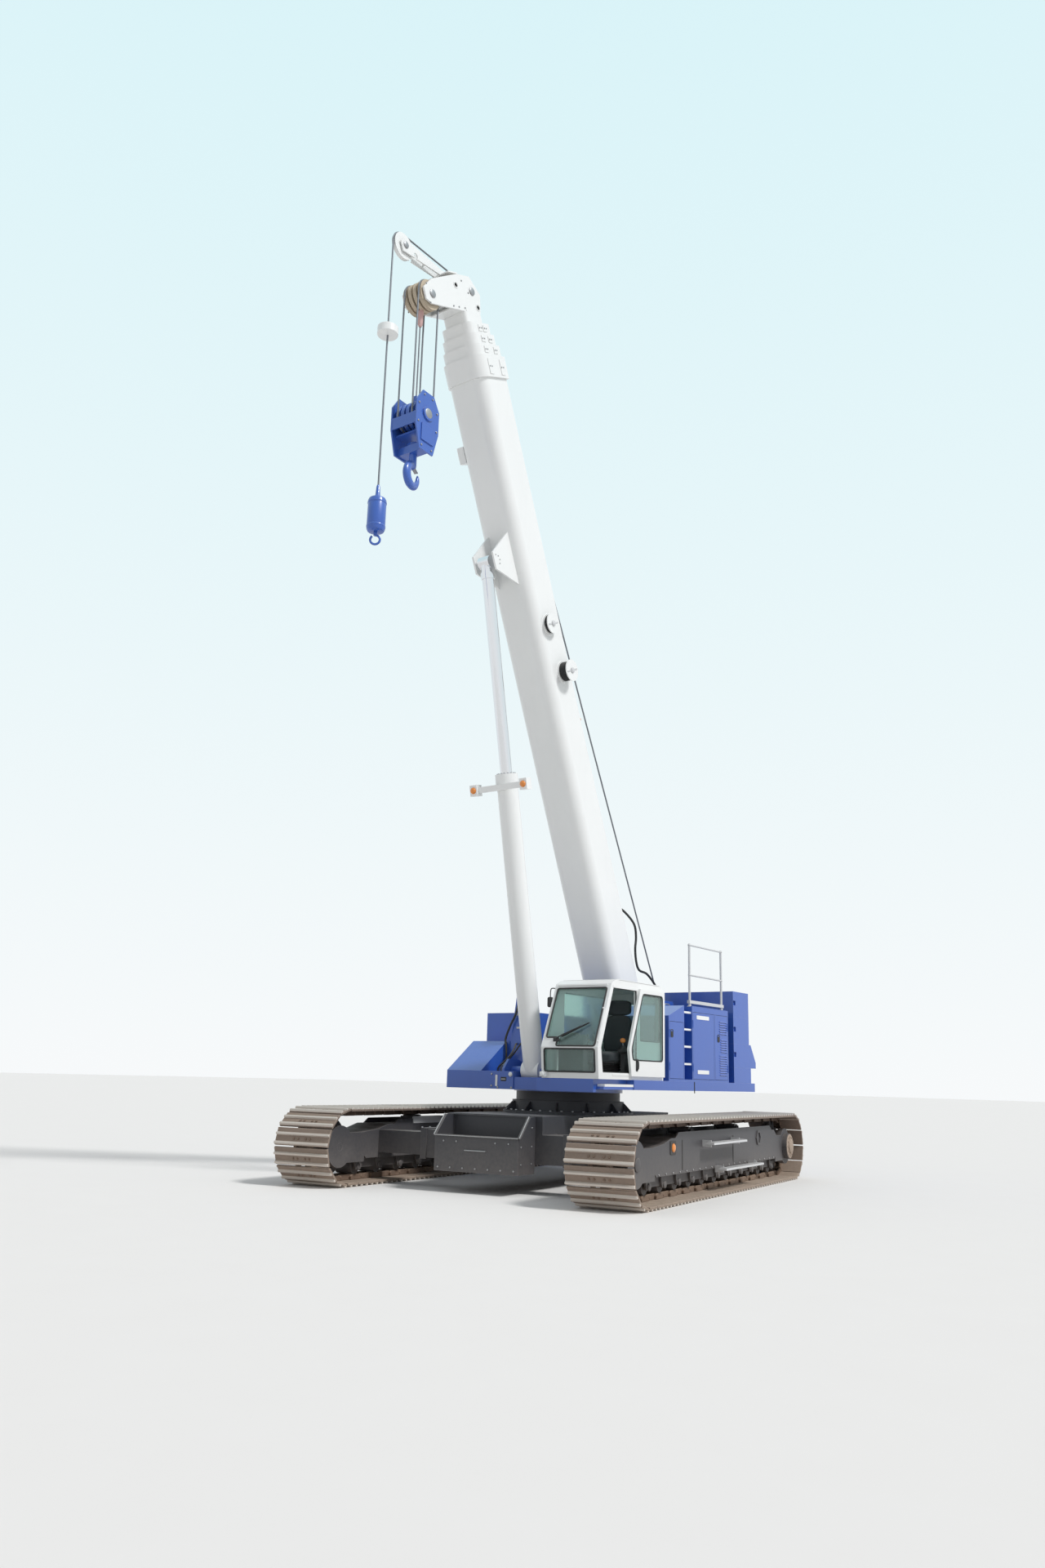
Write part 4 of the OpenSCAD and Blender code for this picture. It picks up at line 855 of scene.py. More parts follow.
@dataclass
class Assembly:
    """A group of pieces drawn on one bench, which ride on one body unless they say otherwise."""

    body: str = "upper"
    bench: Bench = UPPER

    def add(self, name: str, shells: Sequence[Shell], finish: Finish, slot: Slot,
            replaces: Sequence[str] = (), body: str = "") -> bpy.types.Object:
        """Makes one piece out of several closed shells.

        Args:
            name: Name of the object.
            shells: The shells, in this bench's frame.
            finish: Its finish.
            slot: The record's slot of the piece; not used.
            replaces: CAD nodes that it stands for.
            body: Body that carries it, where that isn't the assembly's own.

        Returns:
            The new object.
        """
        whole = self.bench.put(joined([outward(s) for s in shells]))
        return piece(whole, name, finish, body or self.body, replaces)

    def line(self, name: str, path: Array, radius: float, finish: Finish, slot: Slot, stiffness: str,
            lay: str, bodies: tuple[str, ...] = (), bend: float = 1.0) -> bpy.types.Object:
        """Args:
            name: Name of the object.
            path: Points that it follows, in this bench's frame.
            radius: Its radius.
            finish: Its finish.
            slot: The record's slot of the piece; not used.
            stiffness: limp, medium or stiff; not used.
            lay: loose, hanging, coiled or taut; not used.
            bodies: One body that carries it; where two are given, it runs between them and rides on
                neither.
            bend: Share of the path over which it turns from the first body to the second; not used.

        Returns:
            The new object.
        """
        points = self.bench.spots(path)
        bodies = bodies or (self.body,)
        one = len(bodies) == 1
        obj = piece(outward(tube(points, radius)), name, finish, bodies[0] if one else "")
        if not one:
            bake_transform(obj)
        return obj


@dataclass
class TrackChain(Assembly):
    """One track: shoes with two grouser bars, their bolts, and two strands of links on pins."""

    bench: Bench = LOWER
    side: int = 1
    name: str = "left"
    gauge_half: float = 2.2
    half_base: float = 3.2
    axle: float = 0.525
    band: float = 0.47
    count: int = 64
    width: float = 0.90
    plate_r: float = 0.50
    tip_r: float = 0.525
    shoe_half: float = 0.118
    shoe_edge: float = 0.006
    bar_places: tuple[float, float] = (0.0886, -0.0345)
    bar_foot: float = 0.023
    bar_tip: float = 0.012

    def frames(self, share: float) -> tuple[Array, Array]:
        """Turns and places of the pieces of every pitch round the loop.

        With d the distance along the loop, the turn about Y is 0 on the top run, goes
        down by pi round the rear wheel, is -pi on the ground and goes on to -2 pi round
        the front wheel; the place is the wheel line at that distance.

        Args:
            share: Where in its pitch each piece stands, from 0 to 1.

        Returns:
            One 3 x 3 turn and one place for each pitch.
        """
        run, bow = 2 * self.half_base, math.pi * self.band
        d = (np.arange(self.count) + share) * (2 * run + 2 * bow) / self.count
        legs = [d < run, d < run + bow, d < 2 * run + bow]
        turn = -math.pi * np.select(legs, [0 * d, (d - run) / bow, 1 + 0 * d],
            1 + (d - 2 * run - bow) / bow)
        x = np.select(legs, [self.half_base - d, -self.half_base + 0 * d, d - bow - run - self.half_base],
            self.half_base)
        c, s, o = np.cos(turn), np.sin(turn), 0 * d
        turns = np.stack([np.stack([c, o, s], 1), np.stack([o, o + 1, o], 1), np.stack([-s, o, c], 1)],
            axis=1)
        return turns, np.stack([x, o + self.side * self.gauge_half, o + self.axle], axis=1)

    def shoe(self) -> Shell:
        """The plate of one shoe, drawn along the loop and outwards."""
        low, edge, half = self.band + 0.002, self.shoe_edge, self.shoe_half
        line = [(-half, low), (half, low), (half, self.plate_r - edge), (half - edge, self.plate_r)]
        line += [(edge - half, self.plate_r), (-half, self.plate_r - edge)]
        return outward(plate(np.array(line), -self.width / 2, self.width / 2, Axis.Y))

    def bar(self, middle: float) -> Shell:
        """One grouser bar across the shoe: narrower at its worn tip than at its foot."""
        low, foot, tip = self.plate_r - 0.002, self.bar_foot, self.bar_tip
        line = [(middle - foot, low), (middle + foot, low), (middle + tip, self.tip_r),
            (middle - tip, self.tip_r)]
        return outward(plate(np.array(line), -self.width / 2, self.width / 2, Axis.Y))

    def link(self, low: float, high: float) -> Shell:
        """One link plate between two offsets from the chain's middle."""
        line = [(-0.14, 0.415), (-0.12, 0.398), (0.12, 0.398), (0.14, 0.415), (0.14, 0.452), (0.125, 0.469),
            (-0.125, 0.469), (-0.14, 0.452)]
        return outward(plate(np.array(line), low, high, Axis.Y))

    def build(self) -> None:
        """Makes the shoes and their bars, which stand for the CAD track, then the bolts and links."""
        at_shoe, at_pin = self.frames(0.5), self.frames(0.0)
        shoes = self.shoe().copies(*at_shoe)
        shoes.points[:, 2] = np.maximum(shoes.points[:, 2], 0.0)
        # The plates take the darkened shoe finish: painted shade between the grouser bars.
        self.add(f"shoes_{self.name}", [shoes], SHOES, Slot.SHOES, [f"track_{self.name}"])
        bars = [self.bar(middle).copies(*at_shoe) for middle in self.bar_places]
        for grouser in bars:
            grouser.points[:, 2] = np.maximum(grouser.points[:, 2], 0.0)
        self.add(f"grousers_{self.name}", bars, GROUSER, Slot.SHOES, [f"track_{self.name}"])
        heads = outward(bolts([(0.027, y, self.plate_r) for y in (-0.135, -0.065, 0.065, 0.135)], Axis.Z,
                0.017, 0.012))
        self.add(f"shoe_bolts_{self.name}", [heads.copies(*at_shoe)], LINKS, Slot.SHOES)
        inner = [self.link(a, b) for a, b in ((0.090, 0.115), (-0.115, -0.090))]
        outer = [self.link(a, b) for a, b in ((0.118, 0.143), (-0.143, -0.118))]
        turns, places = at_shoe
        odd, even = [(turns[k::2], places[k::2]) for k in (0, 1)]
        pin = outward(lathed([(0.018, -0.148), (0.022, -0.142), (0.022, 0.142), (0.018, 0.148)], Axis.Y,
                (0, 0, 0.43), 8))
        chain = [s.copies(*odd) for s in inner] + [s.copies(*even) for s in outer] + [pin.copies(*at_pin)]
        self.add(f"links_{self.name}", chain, LINKS, Slot.SHOES)


@dataclass
class SideFrame(Assembly):
    """Running gear and trim of one side frame."""

    bench: Bench = LOWER
    side: int = 1
    name: str = "left"
    face: float = 0.28
    roller_pitch: float = 0.527
    rollers: int = 11
    gauge_half: float = 2.2
    wheel_x: float = 3.2
    axle: float = 0.525
    marker_x: float = 2.0
    seam_places: tuple[float, float] = (1.65, -0.46)
    seam_half: float = 0.016
    step_bars: tuple[tuple[float, float, float], ...] = ((-0.49, 0.98, 0.718), (-1.29, 0.47, 0.358))

    def across(self, y: float) -> float:
        """An offset from the track's middle, outwards positive, as a place along Y."""
        return self.side * (self.gauge_half + y)

    def build(self) -> None:
        """Makes roller brackets, drive and idler hubs, seams, bolts, step teeth and reflectors."""
        at = (np.arange(self.rollers) - (self.rollers - 1) / 2) * self.roller_pitch
        line = np.array([(-0.10, 0.348), (-0.10, 0.285), (-0.055, 0.195), (0.055, 0.195), (0.10, 0.285),
                (0.10, 0.348)])
        holders = [plate(line, *sorted((self.across(a), self.across(b))), Axis.Y)
            for a, b in ((0.173, 0.203), (-0.203, -0.173))]
        spread = np.stack([at, 0 * at, 0 * at], axis=1)
        disc = [(0, -0.012), (0.036, -0.012), (0.045, -0.006), (0.045, 0.0), (0.045, 0.006), (0.036, 0.012),
            (0, 0.012)]
        caps = [lathed(disc, Axis.Y, (0, self.across(y), 0.2303), 16) for y in (0.21, -0.21)]
        gear = [outward(s).copies(np.eye(3), spread) for s in holders + caps]
        self.add(f"roller_brackets_{self.name}", gear, DARK, Slot.DARK)
        out, drive = self.side, (-self.wheel_x, self.across(0.36), self.axle)
        hub = lathed([(0.19, -0.002), (0.19, 0.006), (0.175, 0.010), (0.115, 0.010), (0.11, 0.030),
                (0.095, 0.038), (0, 0.040)], Axis.Y, (0, 0, 0), 40)
        rim = arc((drive[0], drive[2]), 0.148, 0, 330, 12)
        studs = bolts([(x, drive[1] + out * 0.010, z) for x, z in rim], Axis.Y, 0.013, 0.012, out)
        idler = lathed([(0.085, -0.002), (0.085, 0.014), (0.07, 0.022), (0, 0.024)], Axis.Y, (0, 0, 0), 32)
        hub = sided(hub, out, drive)
        idler = sided(idler, out, (self.wheel_x, self.across(self.face), self.axle))
        low = [(x, self.across(self.face), 0.372) for x in np.arange(-2.5, 2.51, 0.25)]
        frame_bolts = bolts(low, Axis.Y, 0.014, 0.010, out)
        skin = sorted((self.across(self.face), self.across(self.face + 0.003)))
        half = self.seam_half
        strips = []
        for x in self.seam_places:
            line = rounded(oblong(x - half, x + half, 0.40, 0.77), 0.006, 3)
            strips.append(plate(line, *skin, Axis.Y))
        self.add(f"frame_seams_{self.name}", strips, TRIM, Slot.TRIM)
        self.add(f"hubs_{self.name}", [hub, studs], DRIVE, Slot.DARK)
        self.add(f"idler_caps_{self.name}", [idler], DARK, Slot.DARK)
        self.add(f"frame_bolts_{self.name}", [frame_bolts], STEEL, Slot.DARK)
        teeth = [(x, z) for a, b, z in self.step_bars for x in np.arange(a + 0.03, b - 0.02, 0.06)]
        tooth = slab((-0.006, -0.052, 0), (0.006, 0.052, 0.007), 0.002)
        spots = [(x, self.across(0.43), z) for x, z in teeth]
        self.add(f"step_teeth_{self.name}", [outward(tooth).copies(np.eye(3), spots)], GREY, Slot.GREY)
        if self.side > 0:
            m, wall = self.marker_x, self.across(self.face)
            dome = [(0.056, 0), (0.056, 0.012), (0.046, 0.022), (0.024, 0.030), (0, 0.032)]
            lens = lathed(dome, Axis.Y, (m, wall + 0.004, 0.68), 28)
            sheet = rounded(oblong(m - 0.1, m + 0.1, 0.595, 0.765), 0.02, 4)
            holder = plate(sheet, wall, wall + 0.010, Axis.Y, 0.002)
            self.add("side_marker", [lens], AMBER, Slot.TRIM)
            self.add("side_marker_base", [holder], TRIM, Slot.TRIM)
        else:
            inner = self.across(-self.face)
            self.add("frame_tape", [slab((1.93, inner, 0.62), (2.05, inner + 0.003, 0.72), 0.001, Axis.Y)],
                TAPE, Slot.TRIM)
            bar = plate(rounded(oblong(0.61, 1.40, 0.80, 0.905), 0.02, 4), inner - 0.014, inner + 0.014,
                Axis.Y)
            self.add("frame_bar", [bar], GREY, Slot.GREY)


@dataclass
class Carbody(Assembly):
    """Bolts of the slewing ring and the trim of the stowage tray."""

    body: str = "chassis"
    bench: Bench = LOWER
    tray_front: float = 2.8003
    tray_half: float = 0.64
    lip: float = 0.73

    def build(self) -> None:
        """Makes the ring's bolts, gussets, the tray's light edge strips that stand for painted highlights,
        bolts, latch and pipe.
        """
        around = arc((0, 0), 0.935, 0, 350, 36)
        self.add("flange_bolts", [bolts([(x, y, 1.039) for x, y in around], Axis.Z, 0.020, 0.018)], STEEL,
            Slot.DARK)
        web = np.array([(0.855, 1.038), (0.99, 1.038), (0.99, 1.05), (0.875, 1.17), (0.855, 1.17)])
        angle = np.radians(np.arange(12) * 30 + 15)
        c, s, o = np.cos(angle), np.sin(angle), 0 * angle
        turns = np.stack([np.stack([c, -s, o], 1), np.stack([s, c, o], 1), np.stack([o, o, o + 1], 1)],
            axis=1)
        ribs = outward(plate(web, -0.010, 0.010, Axis.Y)).copies(turns, np.zeros((12, 3)))
        self.add("pedestal_ribs", [ribs], DARK, Slot.DARK)
        x, w, rear = self.tray_front, self.tray_half, 2.3203 + 0.216
        # Thin light steel strips along the tray's lip and upper edges: painted highlights on the flanges,
        # not real wear.
        strips = [slab((x - 0.002, -w, self.lip - 0.001), (x + 0.021, w, self.lip + 0.003), 0.001)]
        for side in (-1, 1):
            y = side * (w + 0.018)
            path = np.array([(rear, y, 1.001), (x - 0.004, y, self.lip + 0.001)])
            strips.append(swept(path, oblong(-0.017, 0.017, -0.002, 0.002), (0, 1, 0.001)))
        self.add("tray_edge_highlights", strips, PAINTED_HIGHLIGHT_STEEL, Slot.DARK)
        heads = [(x, y, 0.32) for y in np.linspace(-w + 0.06, w - 0.06, 7)]
        heads += [(x, y, 0.66) for y in (-0.5, -0.3, 0.3, 0.5)]
        sides = [(px, w, pz) for px, pz in ((2.42, 0.40), (2.42, 0.62), (2.42, 0.86), (2.72, 0.40),
                (2.72, 0.62))]
        self.add("tray_bolts", [bolts(heads, Axis.X, 0.013, 0.010), bolts(sides, Axis.Y, 0.013, 0.010),
                bolts([(a, -b, c) for a, b, c in sides], Axis.Y, 0.013, 0.010, -1)], STEEL, Slot.DARK)
        rung = tube(smooth_path([(x + 0.002, -0.16, 0.55), (x + 0.018, -0.16, 0.55),
                    (x + 0.02, -0.13, 0.55), (x + 0.02, 0.13, 0.55), (x + 0.018, 0.16, 0.55),
                    (x + 0.002, 0.16, 0.55)], 6), 0.008)
        self.add("tray_handle", [rung], STEEL, Slot.DARK)
        mouths = [(sx * 2.1 + dx, sy * 1.17, 0.788) for sx in (-1, 1) for sy in (-1, 1)
            for dx in (-0.2, 0.0, 0.2)]
        self.add("collar_bolts", [bolts(mouths, Axis.Z, 0.016, 0.014)], STEEL, Slot.DARK)


@dataclass
class Hoods(Assembly):
    """Latches, plates and seams of the hoods, doors and decks, and the lamps of the nose box."""

    side: float = 1.5
    top: float = 2.6803
    hatch_low: float = 1.5603
    hatch_rear: float = -2.54
    louvres: tuple[tuple[float, int, float], ...] = ((0.060, 9, 0.300), (0.430, 6, 0.260),
        (0.720, 6, 0.300))
    louvre_gap: float = 0.038
    louvre_h: float = 0.016
    right_top: float = 2.5203
    rail_y: float = 1.44
    rail_ends: tuple[float, float] = (-2.45, -1.30)

    def latch(self, x: float, z: float) -> list[Shell]:
        """A paddle latch: a rounded rim with a tilted paddle in it."""
        y = self.side
        rim = seal([(x - 0.035, y, z - 0.055), (x + 0.035, y, z - 0.055), (x + 0.035, y, z + 0.055),
                (x - 0.035, y, z + 0.055)], (0, 1, 0), 0.012, 0.012, 0.018)
        paddle = plate(rounded(oblong(x - 0.026, x + 0.026, z - 0.046, z + 0.030), 0.012, 4), y - 0.001,
            y + 0.006, Axis.Y, 0.002)
        return [rim, paddle]

    def blank(self, x0: float, x1: float, z0: float, z1: float) -> Shell:
        """A thin blank plate with rounded corners on the hood's side."""
        return plate(rounded(oblong(x0, x1, z0, z1), 0.012, 4), self.side, self.side + 0.003, Axis.Y, 0.001)

    def build(self) -> None:
        """Makes the latches, louvre lips and plates on their doors, the seams, lamps and hoses."""
        for name, x, z in (("front", -0.58, 2.233), ("rear", -2.20, 2.219)):
            self.add(f"latches_{name}", self.latch(x, z), TRIM, Slot.TRIM, body=f"{name}_hatch")
        lips = []
        for rise, count, far in self.louvres:
            for k in range(count):
                high = self.hatch_low + rise + k * self.louvre_gap + self.louvre_h
                lips.append(slab((self.hatch_rear + 0.040, self.side - 0.010, high - 0.004),
                        (self.hatch_rear + far, self.side + 0.012, high + 0.008), 0.002))
        # The lips take the lighter blue copy: a painted highlight along them.
        self.add("louvre_lips", lips, PAINTED_LIT_BLUE, Slot.BLUE, body="rear_hatch")
        self.add("blank_plates", [self.blank(-1.86, -1.42, 2.49, 2.55),
                self.blank(-1.84, -1.44, 1.64, 1.70)], WHITE, Slot.WHITE, body="middle_hatch")
        seam = plate(np.array(oblong(-1.336, -1.310, 1.344, 1.516)), self.side, self.side + 0.002, Axis.Y)
        self.add("deck_seam", [seam], TRIM, Slot.TRIM)
        z = self.top
        caps = [slab((-2.57, 0.51, z), (-1.27, 0.545, z + 0.012), 0.003),
            slab((-2.57, 1.455, z), (-1.27, 1.495, z + 0.010), 0.003)]
        seams = [slab((x, 0.55, z), (x + 0.03, 1.45, z + 0.006), 0.002) for x in (-2.2, -1.75)]
        self.add("hood_rims", caps + seams, BLUE, Slot.BLUE)
        grip = []
        for x in (-2.35, -1.55):
            bend = [(-0.09, 0), (-0.09, 0.04), (-0.06, 0.06), (0.06, 0.06), (0.09, 0.04), (0.09, 0)]
            grip.append(tube(smooth_path([(x + a, 0.9, z + b) for a, b in bend], 5), 0.010))
        self.add("hood_grips", grip, STEEL, Slot.GREY)
        eye = [(0.022, 0), (0.022, 0.004), (0.014, 0.010), (0, 0.012)]
        at = [(x, y, self.right_top) for x in (-2.4, -1.5, -0.6) for y in (-1.4, -0.62)]
        eyes = [lathed(eye, Axis.Z, place, 12) for place in at]
        self.add("hood_studs", eyes, BLUE, Slot.BLUE)
        foot = [(0.042, 0), (0.042, 0.008), (0.026, 0.012), (0.026, 0.03), (0.020, 0.035), (0, 0.035)]
        feet = [lathed(foot, Axis.Z, (x, self.rail_y, z + 0.0003), 20) for x in self.rail_ends]
        knot = [(0, -0.026), (0.018, -0.018), (0.026, 0), (0.018, 0.018), (0, 0.026)]
        at = [(x, self.rail_y, z + h) for x in self.rail_ends for h in (0.5, 0.98)]
        knots = [lathed(knot, Axis.Z, place, 16) for place in at]
        self.add("rail_joints", feet + knots, GREY, Slot.GREY)
        self.front()

    def front(self) -> None:
        """Makes the nose box's lamp, slot, panel and bolts, and the hoses by its post."""
        x = 1.2
        lamp = lathed([(0.034, 0.0), (0.034, 0.014), (0.028, 0.022), (0.014, 0.028), (0, 0.029)], Axis.X,
            (x, -0.245, 1.555), 24)
        self.add("nose_lamp", [lamp], LENS, Slot.WHITE)
        slot = plate(rounded(oblong(-0.525, -0.487, 1.38, 1.545), 0.012, 4), x, x + 0.004, Axis.X, 0.001)
        self.add("nose_slot", [slot], WHITE, Slot.WHITE)
        panel = plate(rounded(oblong(-0.425, -0.325, 1.455, 1.515), 0.010, 4), x, x + 0.004, Axis.X, 0.001)
        bar = slab((x + 0.004, -0.415, 1.478), (x + 0.008, -0.335, 1.490), 0.001, Axis.X)
        self.add("nose_panel", [panel], TRIM, Slot.TRIM)
        self.add("nose_panel_bar", [bar], GREY, Slot.GREY)
        heads = [(x, y, z) for y, z in ((-0.595, 1.385), (-0.595, 1.555), (-0.23, 1.365), (-0.48, 1.365))]
        self.add("nose_bolts", [bolts(heads, Axis.X, 0.016, 0.010)], STEEL, Slot.STEEL)
        knots = [(0.60, -0.752, 1.602), (0.612, -0.757, 1.70), (0.62, -0.762, 1.961), (0.62, -0.776, 2.091),
            (0.62, -0.701, 2.277), (0.62, -0.600, 2.46), (0.612, -0.560, 2.60), (0.59, -0.562, 2.68),
            (0.555, -0.572, 2.715)]
        self.line("post_hose", smooth_path(knots, 5), 0.017, RUBBER, Slot.TRIM, "medium", "loose")
        knots = [(0.90, -0.706, 1.601), (0.90, -0.690, 1.66), (0.88, -0.618, 1.73), (0.84, -0.56, 1.80),
            (0.78, -0.53, 1.88), (0.70, -0.54, 1.96), (0.62, -0.58, 2.01), (0.565, -0.60, 2.02)]
        self.line("platform_hose", smooth_path(knots, 5), 0.014, RUBBER, Slot.TRIM, "medium", "loose")
        knots = [(0.68, -0.70, 1.601), (0.675, -0.69, 1.70), (0.66, -0.65, 1.80), (0.65, -0.58, 1.88),
            (0.63, -0.52, 1.97), (0.60, -0.49, 2.03), (0.565, -0.48, 2.05)]
        self.line("valve_hose", smooth_path(knots, 5), 0.012, RUBBER, Slot.TRIM, "medium", "loose")
        body = [slab((0.74, -0.70, 1.601), (0.86, -0.55, 1.70), 0.008),
            slab((0.76, -0.67, 1.70), (0.84, -0.60, 1.735), 0.005)]
        self.add("valve_block", body, STEEL, Slot.STEEL)
        clamps = [slab((0.570, -0.60, z), (0.582, -0.535, z + 0.03), 0.002) for z in (2.25, 2.45, 2.62)]
        self.add("post_clamps", clamps, GREY, Slot.GREY)


@dataclass
class Cab(Assembly):
    """Seals, wiper, mirror, handle and rails of the cab, and the seat and levers inside it."""

    inner: float = 0.506
    outer: float = 1.456
    floor: float = 1.5203
    mid: float = 0.981
    mat: float = 1.5705
    rail_y: float = 1.438
    facing: tuple[float, float, float] = (0.928, 0, 0.372)

    def screen(self, y: float, z: float, off: float = 0.004) -> tuple[float, float, float]:
        """A point on the slanted windscreen wall at a height, lifted off it by a distance."""
        return (1.525 - 0.4011 * (z - 1.9503) + off * self.facing[0], y, z + off * self.facing[2])

    def lower_pane(self, y: float, z: float, off: float = 0.004) -> tuple[float, float, float]:
        """A point on the wall below the bend at a height, lifted off it by a distance."""
        return (1.49 + 0.0814 * (z - 1.5203) + off, y, z)

    def seals(self) -> None:
        """Makes the seals round every window and the doorway."""
        a, b, f = self.inner + 0.055, self.outer - 0.055, self.floor
        step = self.inner + 0.25
        front = [(step, f + 0.445), (b, f + 0.445), (b, f + 1.275), (a, f + 1.275), (a, f + 0.565),
            (step, f + 0.565)]
        low = oblong(a, b, f + 0.09, f + 0.405)
        rings = [seal([self.screen(*p) for p in front], self.facing),
            seal([self.lower_pane(*p) for p in low], (1, 0, -0.0814))]
        rear = oblong(a + 0.065, b - 0.065, f + 0.56, f + 1.15)
        rings.append(seal([(-0.384, y, z) for y, z in rear], (-1, 0, 0)))
        boom_side = oblong(-0.23, 1.0, f + 0.56, f + 1.23)
        rings.append(seal([(x, self.inner - 0.003, z) for x, z in boom_side], (0, -1, 0)))
        door_side = oblong(-0.26, 0.33, f + 0.56, f + 1.23)
        rings.append(seal([(x, self.outer - 0.005, z) for x, z in door_side], (0, 1, 0), 0.022, 0.012))
        door = [(0.43, 1.6103), (1.38, 1.6103), (1.43, 1.9503), (1.10, 2.8003), (0.43, 2.8003)]
        rings.append(seal([(x, self.outer - 0.012, z) for x, z in door], (0, 1, 0), 0.020, 0.014))
        self.add("cab_seals", rings, RUBBER, Slot.TRIM)
        pane = [(0.47, 1.80), (1.366, 1.80), (1.40, 1.95), (1.07, 2.76), (0.47, 2.76)]
        self.add("door_seal", [seal([(x - 0.75, 1.502, z) for x, z in pane], (0, 1, 0), 0.018, 0.010,
                    0.05)], RUBBER, Slot.TRIM, body="sliding_door")

    def outside(self) -> None:
        """Makes the wiper, mirror, lamp, door handle, roof rails, visor and aerial foot."""
        pivot, tip = np.array(self.screen(0.738, 2.048, 0.012)), np.array(self.screen(1.127, 2.232, 0.030))
        knee = np.array(self.screen(0.80, 2.075, 0.045))
        arm = tube(smooth_path([pivot, knee, (knee + tip) / 2 + (0.004, 0, 0.002), tip], 6), 0.008)
        blade_a = np.array(self.screen(0.83, 2.088, 0.016))
        blade_b = np.array(self.screen(1.24, 2.286, 0.016))
        blade = swept(np.linspace(blade_a, blade_b, 8),
            [(-0.006, -0.012), (0.006, -0.012), (0.004, 0.012), (-0.004, 0.012)], self.facing)
        box = slab(pivot - (0.03, 0.045, 0.028), pivot + (0.008, 0.045, 0.028), 0.008, Axis.X)
        self.add("wiper", [arm, blade, box], TRIM, Slot.TRIM)
        stalk = tube(smooth_path([(1.17, 0.515, 2.80), (1.20, 0.46, 2.80), (1.222, 0.452, 2.76),
                    (1.225, 0.45, 2.64)], 6), 0.008)
        frame_line = rounded(oblong(-0.045, 0.045, -0.075, 0.075), 0.03, 4)
        face = np.stack([frame_line * s for s in (0.8, 1.0, 1.0, 0.8)])
        depth = np.array([-0.014, -0.006, 0.008, 0.014])[:, None, None] * np.ones((1, face.shape[1], 1))
        mirror = woven(np.concatenate([depth, face], axis=2)).shifted((1.225, 0.45, 2.60))
        self.add("mirror", [stalk, mirror], TRIM, Slot.TRIM)
        lens = lathed([(0.036, 0.0), (0.036, 0.006), (0.03, 0.012), (0.015, 0.016), (0, 0.017)], Axis.X,
            (1.57, 0.566, 1.5703), 24)
        self.add("cab_lamp_lens", [lens], LENS, Slot.WHITE)
        grip = smooth_path([(0.50, 1.500, 1.665), (0.50, 1.520, 1.675), (0.50, 1.528, 1.70),
                (0.50, 1.528, 1.76), (0.50, 1.520, 1.785), (0.50, 1.500, 1.795)], 5)
        base = plate(rounded(oblong(0.468, 0.532, 1.64, 1.82), 0.02, 4), 1.499, 1.505, Axis.Y, 0.002)
        self.add("door_handle", [tube(grip, 0.010), base], TRIM, Slot.TRIM, body="sliding_door")
        z = self.floor + 1.40
        gutter = [(-0.29, self.inner + 0.01, z), (0.99, self.inner + 0.01, z), (0.99, self.outer - 0.01, z),
            (-0.29, self.outer - 0.01, z)]
        lip = oblong(-0.010, 0.010, -0.004, 0.010)
        lid = [(x, y, z + 0.004) for x, y in ((0.05, 0.70), (0.65, 0.70), (0.65, 1.27), (0.05, 1.27))]
        hatch = seal(lid, (0, 0, 1), 0.024, 0.014, 0.06)
        self.add("cab_gutter", [swept(rounded(gutter, 0.04), lip, (0, 0, 1), closed=True), hatch], WHITE,
            Slot.WHITE)
        visor = swept(np.array([self.screen(0.56, 2.838, 0.0), self.screen(1.40, 2.838, 0.0)]),
            oblong(-0.006, 0.012, -0.02, 0.018), self.facing)
        self.add("cab_visor", [visor], WHITE, Slot.WHITE)
        rail = smooth_path([(1.515, self.rail_y, 2.03), (1.478, self.rail_y, 2.04),
                (1.462, self.rail_y, 2.09), (1.330, self.rail_y, 2.45), (1.328, self.rail_y, 2.49),
                (1.362, self.rail_y, 2.50)], 6)
        self.add("cab_grab_rail", [tube(rail, 0.011)], WHITE, Slot.WHITE)

    def inside(self) -> None:
        """Makes the padded seat, its base and consoles, the joysticks and the front panel."""
        m = self.mid
        arm_y, lever_y = (m - 0.31, m + 0.31), (m - 0.04, m + 0.06)
        parts = [
            ("seat_cushion", cushion((0.44, m, 1.845), (0.26, 0.25, 0.085), 0.06, (-0.45, 0.0, 0.45), 0)),
            ("seat_back", cushion((0.165, m, 2.17), (0.075, 0.228, 0.30), -0.06, (), 1)),
            ("seat_headrest", cushion((0.142, m, 2.575), (0.052, 0.205, 0.115), 0.0, (), 1)),
        ]
        for name, shell in parts:
            pad = self.add(name, [shell], FABRIC, Slot.TRIM, ["cab_seat"])
        bellows = [(0.17, 0.0), (0.19, 0.02), (0.165, 0.04), (0.19, 0.06), (0.165, 0.08), (0.19, 0.10),
            (0.165, 0.12), (0.18, 0.14), (0.17, 0.15)]
        base = [slab((0.20, m - 0.22, self.mat), (0.68, m + 0.22, 1.60), 0.008),
            lathed(bellows, Axis.Z, (0.43, m, 1.60), 28),
            slab((0.19, m - 0.235, 1.748), (0.68, m + 0.235, 1.775), 0.008)]
        arms = [slab((0.25, y - 0.045, 1.90), (0.62, y + 0.045, 1.96), 0.014) for y in arm_y]
        boot = [(0.045, 0), (0.038, 0.012), (0.034, 0.02), (0.026, 0.034), (0.016, 0.045), (0, 0.046)]
        boots = [lathed(boot, Axis.Z, (0.54, y, 1.96), 20) for y in arm_y]
        stands = [slab((0.30, y - 0.035, self.mat), (0.56, y + 0.035, 1.90), 0.01) for y in arm_y]
        self.add("seat_base", base + arms + boots + stands, TRIM, Slot.TRIM, ["cab_seat"])
